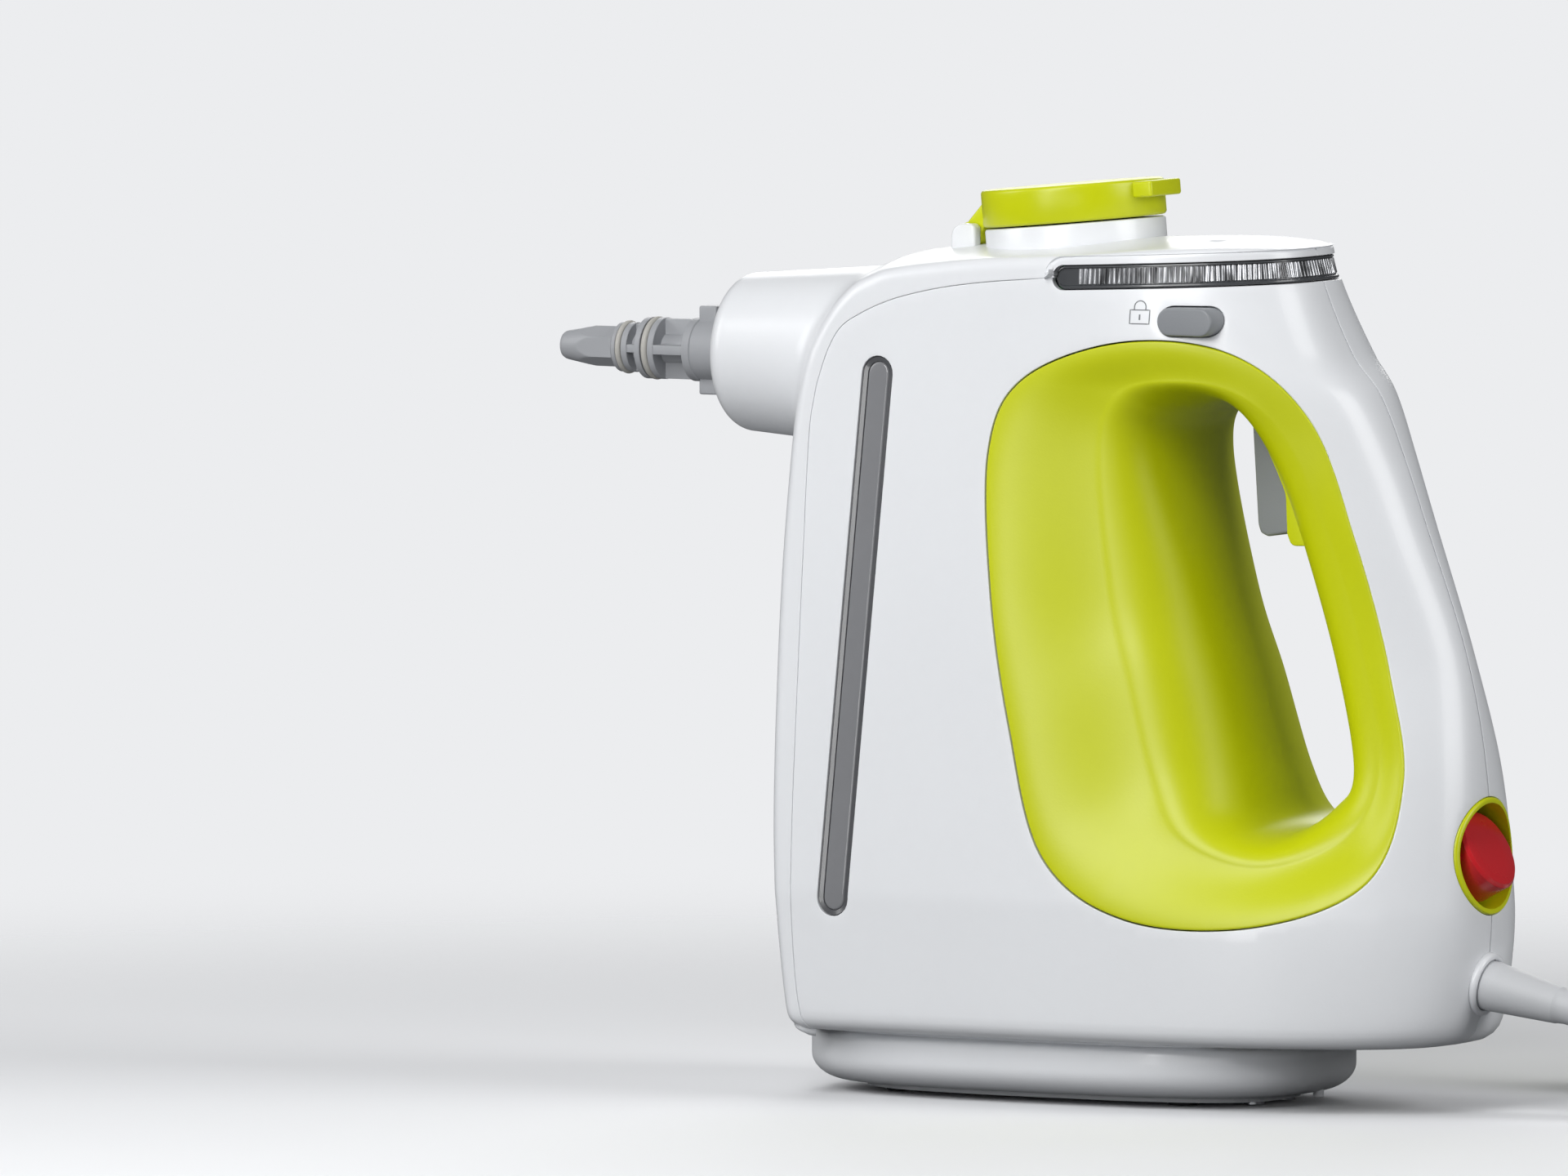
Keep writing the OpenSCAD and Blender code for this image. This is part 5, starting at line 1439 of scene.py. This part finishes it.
def make_band():
    s, _ = band_places(120)
    r = BAND_H / 2
    section = [(BAND_T_IN, -r), (1.1, -r), (0.6, -r + 0.12), (0.38, -r + 0.45), (0.38, -r + 0.85),
               (BAND_BODY_T, -r + 1.15), (BAND_BODY_T, r - 0.7), (0.38, r - 0.5), (0.5, r - 0.1), (1.0, r),
               (BAND_T_IN, r)]
    first = s[0]
    rows = []
    for side in (1, -1):
        order = range(len(s)) if side > 0 else range(len(s) - 2, -1, -1)
        for k in order:
            x = skin(s[k], BAND_Z)[0]
            reach = min(1.0, (s[k] - first) / r)
            height = max(0.06, math.sqrt(1 - (1 - reach) ** 2))
            middle = band_low(x) + r
            rows.append([skin(s[k], middle + h * height, t) * [1, side, 1] for t, h in section])
    faces = strip_faces(len(rows), len(section))
    return make("band_body", np.reshape(rows, (-1, 3)), faces, sharp=30)


def make_ribs():
    _, length = band_places()
    s, _ = band_places(int(round(length / RIB_PITCH)) + 1)
    s = s[5:]
    height = BAND_H - 2.1
    half, rise = 0.62, 0.52
    crown = [(rise * math.sin(a), -half * math.cos(a)) for a in np.linspace(0.35, math.pi - 0.35, 7)]
    outline = [(-0.5, -half), (0.0, -half), *crown, (0.0, half), (-0.5, half)]
    points = [(x, y, z) for z in (-height / 2, height / 2) for x, y in outline]
    rib = rounded(make("rib", points, prism_faces(len(outline)), sharp=60), 0.12, 1, 50)
    places, turns = [], []
    for side in (1, -1):
        mirror = np.array([1, side, 1])
        for k in range(len(s) if side > 0 else len(s) - 1):
            x = skin(s[k], BAND_Z)[0]
            z = band_low(x) + BAND_H / 2 + 0.2
            ahead = (skin(s[k] + 0.2, z) - skin(s[k] - 0.2, z)) * mirror
            up = (skin(s[k], z + 1) - skin(s[k], z - 1)) * mirror
            out = np.array([-ahead[1], ahead[0], 0])
            if out @ (skin(s[k], z) * mirror - np.array([40.0, 0, z])) < 0:
                out = -out
            out /= np.linalg.norm(out)
            places.append(skin(s[k], z, BAND_BODY_T) * mirror)
            turns.append((0, math.atan2(up @ out, up[2]), math.atan2(out[1], out[0])))
    return copies("ribs", rib, places, turns, LIGHT_BAR, wobble=0.3, seed=7)


band_body = make_band()
band_body.data.materials.append(BAR_EDGE)
ribs = make_ribs()
light_band = join("light_band_bar", band_body, ribs)
carry(light_band, "housing", "light_bar", None, "light_band")
print("the light band has", len(light_band.data.polygons), "faces")

# %% [markdown]
# ## The level window
# A long smoked lens stands in the left shell, in a bevelled frame that slopes down to it.

# %% Level window
SMOKED = plastic("smoked_window", srgb(132, 133, 136), 0.2, 0.1, 0.12, 500.0, 0.06, Coat_Weight=0.4)
SMOKED_EDGE = plastic("smoked_edge", srgb(84, 85, 88), 0.24, 0.1, 0.1, 900.0, 0.08, Coat_Weight=0.3)


def window_line(gap, sides=70, steps=14):
    """The window's outline with points along its straight sides, as places on the skin."""
    ends = window_loop(gap, steps)
    a, b, c, d = ends[0], ends[steps - 1], ends[steps], ends[-1]
    k = np.linspace(0, 1, sides)[1:-1, None]
    return to_places(np.vstack([ends[:steps], b + (c - b) * k, ends[steps:], d + (a - d) * k]))


def swept_loops(name, rows, sharp=30):
    """A closed ring of a section; rows are (gap, t) pairs of the window's outline."""
    loops = [window_line(gap) for gap, _ in rows]
    grid = np.stack([skin(loop[:, 0], loop[:, 1], t) for loop, (_, t) in zip(loops, rows)], axis=1)
    faces = grid_faces(grid.shape[0], grid.shape[1], wrap_rows=True, wrap_columns=True)
    return make(name, grid.reshape(-1, 3), faces, sharp)


frame_section = [(0, 4.8), (0, 0.75), (-0.15, 0.6), (-1.35, 0.95), (-1.5, 1.2), (-1.5, 4.8)]
frame_ring = swept_loops("window_frame", frame_section)
frame_ring.data.materials.append(SMOKED_EDGE)
lens = moulding("window_lens", window_line(-1.5), [], lambda s, z, t=0.0: skin(s, z, t + 0.85),
                wall=3.0, edge=0.7)
lens.data.materials.append(SMOKED)
window = join("level_window", frame_ring, lens)
carry(window, "housing", "smoked_window", None, "tank_window")
print("the window has", len(window.data.polygons), "faces")

# %% [markdown]
# ## Lock button, padlock mark, trigger and its frame

# %% Lock and mark
LOCK_OUT = 4.0
INK = plastic("ink", srgb(118, 120, 124), 0.5, 0.05, 0.05, 2000.0, 0.05)


def make_lock():
    face = float(depth(*LOCK_AT))
    outline = [tuple(p) for p in obround(LOCK_AT, LOCK_L, LOCK_H, 18)]
    return prism("lock_button", outline, -face - LOCK_OUT, face - 1, 0.7, 4)


lock = carry(make_lock(), "lock", "grey_button", BUTTON, "lock_bolt")


def ink_line(points, width, closed=False):
    """A thin flat line on the left skin, through (X, Z) points."""
    p = np.array(points, float)
    before = np.roll(p, 1, axis=0) if closed else np.vstack([p[:1], p[:-1]])
    after = np.roll(p, -1, axis=0) if closed else np.vstack([p[1:], p[-1:]])
    d = after - before
    d /= np.linalg.norm(d, axis=1)[:, None]
    across = np.stack([-d[:, 1], d[:, 0]], axis=1) * width / 2
    rows = []
    for offset, t in ((-1, 0.1), (-1, -0.05), (1, -0.05), (1, 0.1)):
        place = to_places(p + across * offset)
        rows.append(skin(place[:, 0], place[:, 1], t))
    grid = np.stack(rows, axis=1)
    faces = grid_faces(len(p), 4, True, True) if closed else strip_faces(len(p), 4)
    return make("ink_line", grid.reshape(-1, 3), faces, sharp=30)


def make_padlock(x, z):
    """A small open-line padlock; (x, z) is the middle of its body's foot."""
    w, h, line = 3.0, 4.0, 0.32
    body = [(x - w, z), (x, z), (x + w, z), (x + w, z + h / 2), (x + w, z + h), (x, z + h),
            (x - w, z + h), (x - w, z + h / 2)]
    shackle = [(x + 1.75, z + h)] + arc((x, z + h + 0.9), 1.75, 0, 180, 14) + [(x - 1.75, z + h)]
    return join("padlock_mark", ink_line(spaced(body, 0.8), line, True), ink_line(shackle, line),
                ink_line([(x, z + 1.1), (x, z + 2.7)], 0.5))


carry(make_padlock(39.8, 228.1), "housing", "grey_button", INK)
print("the lock and its mark are made")

# %% Trigger
TRIGGER_HALF = 6.0


def softened(points, radius, steps=5):
    """The closed outline with its corners rounded; one radius, or one for each corner."""
    p = np.array(points, float)
    radii = np.broadcast_to(radius, len(p))
    out = []
    for i, r in enumerate(radii):
        a, b, c = p[i - 1], p[i], p[(i + 1) % len(p)]
        if r < 0.05:
            out.append(b)
            continue
        u, v = (a - b) / np.linalg.norm(a - b), (c - b) / np.linalg.norm(c - b)
        half = math.acos(float(np.clip(u @ v, -1, 1))) / 2
        back = min(r / math.tan(half), 0.45 * np.linalg.norm(a - b), 0.45 * np.linalg.norm(c - b))
        start, end = b + u * back, b + v * back
        out.extend(bend(start, b, end, k) for k in np.linspace(0, 1, steps))
    return [tuple(q) for q in out]


trigger_line = softened([(59.5, 203.5), (59.4, 197), (61.2, 168.6), (62.1, 166.3), (64.4, 165.3),
                         (77, 167.5), (83, 188), (76.5, 228), (67.5, 228), (66.5, 212)],
                        [1, 6, 8, 1.6, 1.6, 2, 4, 0, 0, 4])
blade = prism("blade", trigger_line, -TRIGGER_HALF, TRIGGER_HALF, 1.3, 4)
boss = prism("boss", arc((72, 228), 5, 0, 345, 24), -TRIGGER_HALF, TRIGGER_HALF, 0.5, 2)
carry(join("trigger_blade", blade, boss), "trigger_lever", "grey_button", BUTTON, "trigger")

guard_line = softened([(65.4, 191.5), (69.2, 184), (71.9, 178), (72.4, 166.5), (73.8, 163), (80.8, 163.2),
                       (77.2, 175.5), (73.2, 185), (69.4, 192.5)], [1, 10, 8, 3, 2.4, 1.5, 20, 10, 1])
guard = prism("guard", guard_line, -8.6, 8.6, 1.2, 4)
slot = prism("slot", [(50, 164.4), (100, 164.4), (100, 200), (50, 200)], -6.35, 6.35, 0.8, 2)
guard = cut(guard, slot)
guard.data.shade_smooth()
guard.data.set_sharp_from_angle(angle=math.radians(40))
carry(guard, "housing", "lime_trim", TRIM, "trigger_guard")
print("the trigger and its guard are made")

# %% [markdown]
# ## Power switch
# A lime ring follows the housing's skin. In its well sits a round rocker, which leans with its
# face half out of the well.

# %% Switch ring and rocker
BORE_R = 15.3
BEZEL_DEPTH, BEZEL_FLOOR = 18.0, 2.0
ROCKER_R = 12.4
ROCKER_TILT = math.radians(28)
ROCKER_OUT = 4.7
switch_x = float(rear_line(SWITCH_Z))
pivot_x = switch_x - 4.6


def rear_skin(y, z):
    """X of the housing's rear at a distance from the middle plane and a height."""
    return skin(s_beside(y, z), z)[..., 0]


def make_bezel(steps=144):
    rows = []
    floor_x = switch_x - BEZEL_DEPTH
    for a in np.linspace(0, 2 * math.pi, steps, endpoint=False):
        c, s = math.cos(a), math.sin(a)
        row = []
        for r, kind, offset in ((8.1, 0, 0.0), (BEZEL_R, 0, 0.0), (BEZEL_R, 1, 0.0),
                                (BEZEL_R - 0.1, 1, 0.28), (BEZEL_R - 0.4, 1, 0.5),
                                (BORE_R + 0.5, 1, 0.5), (BORE_R + 0.12, 1, 0.36), (BORE_R, 1, 0.05),
                                (BORE_R, 0, BEZEL_FLOOR + 0.8), (BORE_R - 0.8, 0, BEZEL_FLOOR),
                                (8.1, 0, BEZEL_FLOOR)):
            y, z = r * c, SWITCH_Z + r * s
            x = float(rear_skin(y, z)) if kind else floor_x
            row.append((x + offset, y, z))
        rows.append(row)
    grid = np.array(rows)
    return make("switch_ring", grid.reshape(-1, 3),
                grid_faces(steps, grid.shape[1], wrap_rows=True, wrap_columns=True), sharp=35)


def rocker_place(points):
    """From the rocker's frame, whose Z is its face's axis, to the housing's."""
    p = np.asarray(points, float)
    cos, sin = math.cos(-ROCKER_TILT), math.sin(-ROCKER_TILT)
    out, up = p[:, 2], p[:, 0]
    return np.stack([pivot_x + out * cos + up * sin, p[:, 1], SWITCH_Z - out * sin + up * cos], axis=1)


carry(make_bezel(), "housing", "lime_trim", TRIM, "switch_bezel")
face_profile = [(0, ROCKER_OUT - 0.12), (6.0, ROCKER_OUT - 0.08), (ROCKER_R - 1.05, ROCKER_OUT),
                (ROCKER_R - 0.95, ROCKER_OUT - 0.03), (ROCKER_R - 0.06, ROCKER_OUT - 0.86),
                (ROCKER_R, ROCKER_OUT - 0.98), (ROCKER_R, -5.2), (ROCKER_R - 0.8, -6.0), (0, -6.0)]
rocker = turned("rocker_button", face_profile, 144, rocker_place, sharp=25)
pins = tube("trunnions", [(pivot_x, -BORE_R - 0.9, SWITCH_Z), (pivot_x, BORE_R + 0.9, SWITCH_Z)], 1.5, 24)
carry(join("rocker_button", rocker, pins), "rocker", "red_rocker", ROCKER, "power_rocker")
print("the switch is at x", round(switch_x, 2))

# %% [markdown]
# ## Filler cap
# The cap is a round lid with a thumb tab at the rear and an arm that runs down to the hinge. A
# plug under it carries the seal into the neck.

# %% Filler cap
lid_profile = [(0, -4), (15.0, -4), (15.4, -3.6), (15.4, 0), (CAP_R - 1.0, 0.0), (CAP_R - 0.4, 0.25),
               (CAP_R, 0.9), (CAP_R, 8.9)]
lid_profile += arc((CAP_R - 1.2, 9.7), 1.2, 5, 78, 8) + [(CAP_R - 2.6, 11.0), (0, 11.0)]
lid = turned("lid", lid_profile, 160, cap_place, sharp=40)
tab = block("tab", cap_place, (CAP_R - 4, -9, 5.5), (CAP_R + 4.5, 9, 10.2), 0.8, 4)
barrel = prism("barrel", arc(HINGE, 4.0, 0, 350, 36), -7.2, 7.2, 0.5, 3)
arm_line = [(HINGE[0] - 1, HINGE[1] + 3.8), (HINGE[0] + 1, HINGE[1] - 1), (HINGE[0] + 4.2, HINGE[1] + 1),
            (-30, 252.2), (-23, 254.8), (-23, 261.8), (-29, 260.8)]
arm = prism("arm", arm_line, -7.2, 7.2, 0.6, 3)
carry(join("filler_lid", lid, tab, barrel, arm), "cap", "lime_cap", CAP, "filler_cap")
print("the cap is made")

# %% [markdown]
# ## Steam nozzle
# The nozzle is one moulding: a tapered tip with flats, lands for two seal rings, webs between
# them, and a collar with two bayonet lugs.

# %% Nozzle
TIP_X = -175.0


def nozzle_place(points):
    p = np.asarray(points, float)
    return np.stack([TIP_X + p[:, 2], p[:, 0], NOZZLE_Z + p[:, 1]], axis=1)


def flats(r, a, h):
    """Six flats run back from behind the tip and meet the cone in curved ends."""
    if h < 1.5 or h > 18.6 or r < 3.0:
        return r
    across = 5.15 + max(0.0, 3.2 - h) * 0.5
    from_flat = (a + math.pi / 6) % (math.pi / 3) - math.pi / 6
    return min(r, across / math.cos(from_flat))


nozzle_profile = [(1.3, 0.0), (3.1, 0.0), (3.7, 0.25), (4.1, 0.9)]
nozzle_profile += [(4.2 + 1.7 * (h - 1) / 9.5, h) for h in np.linspace(1.6, 10.5, 16)]
nozzle_profile += [(5.9 + 0.1 * (h - 10.5) / 8, h) for h in (12.5, 15.0, 17.0, 18.4)]
nozzle_profile += [
    (6.1, 18.7), (7.1, 19.45), (7.3, 19.65), (7.3, 20.65), (7.15, 20.8), (6.1, 20.8), (6.1, 22.8),
    (7.15, 22.8), (7.3, 22.95), (7.3, 24.65), (7.15, 24.8), (4.0, 24.8), (4.0, 28.0), (8.85, 28.3),
    (9.05, 28.5), (9.05, 30.05), (8.9, 30.2), (7.25, 30.2), (7.25, 32.8), (8.9, 32.8), (9.05, 32.95),
    (9.05, 34.65), (8.9, 34.8), (4.4, 34.8), (4.4, 44.5), (9.15, 44.5), (9.35, 44.7), (9.35, 46.9),
    (9.05, 47.2), (9.05, 77.0), (7.7, 77.0), (7.7, 95.0), (1.3, 95.0), (1.3, 48.0)]
core = turned("core", nozzle_profile, 120, nozzle_place, sharp=30, shape=flats)

webs = []
for half, r, z0, z1 in ((1.2, 7.0, 24.3, 28.9), (1.4, 8.85, 34.3, 45.0)):
    webs.append(block("web", nozzle_place, (-half, -r, z0), (half, r, z1), 0.25, 2))
    webs.append(block("web", nozzle_place, (-r, -half, z0), (r, half, z1), 0.25, 2))
for side in (-1, 1):
    webs.append(block("lug", nozzle_place, (-3, side * 10 - 3, 47), (3, side * 10 + 3, 53), 0.6, 3))
carry(join("steam_nozzle", core, *webs), "housing", "grey_nozzle", NOZZLE, "nozzle")


def torus(name, r, wire, at, steps=96, sides=16):
    section = np.linspace(0, 2 * math.pi, sides, endpoint=False)
    ring = [(r + wire * math.cos(a), at + wire * math.sin(a)) for a in section]
    turns = np.linspace(0, 2 * math.pi, steps, endpoint=False)
    points = [(p * math.cos(a), p * math.sin(a), h) for a in turns for p, h in ring]
    return make(name, nozzle_place(points), grid_faces(steps, sides, True, True), sharp=80)


carry(join("seal_rings", torus("ring_a", 7.0, 0.85, 21.8), torus("ring_b", 8.3, 1.0, 31.5)), "housing",
      "pale_ring", RING, "nozzle_o_rings")
print("the nozzle is made")

# %% [markdown]
# ## Strain relief, plug and tie

# %% Strain relief
bore = CORD_D / 2 + 0.02
relief_profile = [(bore, -6.8), (RELIEF_R + 0.9, -6.8), (RELIEF_R + 1.1, -6.6), (RELIEF_R + 1.1, -4.6),
                  (RELIEF_R, -4.6), (RELIEF_R, 3.0)]
relief_profile += [(RELIEF_R - (RELIEF_R - 5.4) * (h - 3) / 22, h) for h in (8, 14, 20)]
relief_profile += [
    (5.43, 24.6), (5.36, 24.95), (5.2, 25.2), (4.95, 27.1), (4.86, 27.5), (4.7, RELIEF_L - 1.3),
    (4.55, RELIEF_L - 0.6), (4.25, RELIEF_L - 0.1), (3.9, RELIEF_L), (bore, RELIEF_L - 0.2)]
relief = turned("relief", relief_profile, 96, cord_place, sharp=35)
carry(relief, "housing", "grey_sleeve", SLEEVE, "strain_relief")

# %% Plug
def plug_place(points):
    p = np.asarray(points, float)
    along = np.array([math.cos(PLUG_TURN), math.sin(PLUG_TURN), 0])
    side = np.array([-along[1], along[0], 0])
    return np.array(plug_at) + p[:, 2:] * along + p[:, :1] * side + p[:, 1:2] * [0, 0, 1]


def grips(r, a, h):
    """Finger grooves along the plug's waist."""
    if not 24.5 < h < 39.5:
        return r
    return r - 0.55 * (0.5 - 0.5 * math.cos(a * 18)) * math.sin((h - 24.5) / 15 * math.pi)


plug_profile = [(0, 0.1), (4.3, 0.1), (4.6, 0.4), (5.2, 5.0), (5.9, 11.0), (6.9, 19.4), (7.6, 20.8),
                (11.6, 23.2), (12.5, 24.2), (12.7, 28), (12.95, 32), (13.2, 36), (13.5, 39.8),
                (14.1, 41.2), (17.2, 44.4), (18.4, 45.8), (18.8, 47.0), (18.8, 54.6), (18.5, 55.5),
                (17.6, 56.0), (0, 56.0)]
plug = turned("plug_shell", plug_profile, 144, plug_place, sharp=35, shape=grips)
carry(plug, "housing", "cord_pvc", CORD, "plug_body")
PIN_R, PIN_END, PIN_APART = 2.4, 75.0, 19.0
pin_profile = [(0, 46.0), (PIN_R, 46.0), (PIN_R, PIN_END - 1.4), (PIN_R - 0.35, PIN_END - 0.55),
               (PIN_R - 1.1, PIN_END), (0, PIN_END)]
pin_pieces = [
    turned("pin", pin_profile, 40, lambda p, at=at: plug_place(np.asarray(p) + [at, 0, 0]), sharp=40)
    for at in (-PIN_APART / 2, PIN_APART / 2)]
plug_pin_pair = carry(join("plug_pin_pair", *pin_pieces), "housing", "steel", STEEL, "plug_pins")

# %% Cable tie
TIE_T = 0.7


def coil_r(turn):
    return COIL_R - COIL_PITCH * turn


def make_tie(wide=8.0, steps=7):
    """A flat strap round the bundle."""
    r0 = coil_r(COIL_LOOPS - 0.5) - CORD_D / 2 - 0.7
    r1 = coil_r(0.5) + CORD_D / 2 + 0.3
    h = COIL_LIE + (COIL_LAYERS - 1) * COIL_PITCH + CORD_D / 2 + 0.3
    corner = 1.6
    line = []
    for cx, cz, start in ((r1 - corner, TIE_T + corner, -90), (r1 - corner, h - corner, 0),
                          (r0 + corner, h - corner, 90), (r0 + corner, TIE_T + corner, 180)):
        line += [(cx, cz, a) for a in np.linspace(start, start + 90, steps)]
    rows = []
    for cx, cz, a in line:
        c, s = math.cos(math.radians(a)), math.sin(math.radians(a))
        row = []
        for r, y in ((corner, -wide / 2), (corner + TIE_T, -wide / 2 + 0.1),
                     (corner + TIE_T, wide / 2 - 0.1), (corner, wide / 2)):
            row.append((cx + r * c, y, cz + r * s))
        rows.append(row)
    grid = np.array(rows)
    turn = COIL_START + math.pi
    cos, sin = math.cos(turn), math.sin(turn)
    x, y, z = grid.reshape(-1, 3).T
    points = np.stack([COIL_AT[0] + x * cos - y * sin, COIL_AT[1] + x * sin + y * cos, z], axis=1)
    return make("cable_tie", points, grid_faces(len(rows), 4, True, True), sharp=40)


tie = carry(make_tie(), "housing", "black_plastic", BLACK, "cord_tie")
print("relief, plug and tie are made")

# %% [markdown]
# ## Feet
# Four rubber feet stand under the closing plate, which keeps its solid and gets its material below.

# %% Feet
FOOT_R, FOOT_H = 4.5, 1.2

foot = turned("foot", [(0, 0), (FOOT_R - 0.8, 0), (FOOT_R - 0.2, 0.25), (FOOT_R, 0.7), (FOOT_R, FOOT_H),
                       (0, FOOT_H)], 48)
foot_places = [(44, 19, 0), (44, -19, 0), (-52, 16, 0), (-52, -16, 0)]
rubber_feet = copies("rubber_feet", foot, foot_places, [(0, 0, 0)] * 4, RUBBER)
carry(rubber_feet, "housing", "rubber_seal", None, "feet")
print("the feet are made")

# %% [markdown]
# ## Inner parts
# The solids inside the housing keep their shapes and get their materials.

# %% Materials of the inner parts
inner = {
    STEEL: ["hinge_pin", "trigger_pin", "trigger_spring", "nozzle_nut", "steam_pipe", "thermostat",
            "thermal_fuse", "case_screws", "base_screws"],
    BLACK: ["microswitch", "pump", "switch_body"],
    RUBBER: ["cap_seal", "pump_mounts"],
    TANK: ["water_tank", "tank_cover"],
    HOSE: ["water_hoses"],
    CAST: ["boiler"],
    BOARD: ["led_board", "control_board"],
    NYLON: ["terminal_block", "cord_clamp"],
    PLATE: ["bottom_plate"],
}
for material, names in inner.items():
    for name in names:
        for slot in nodes[name].material_slots:
            slot.material = material
print("gave materials to", sum(len(names) for names in inner.values()), "inner parts")
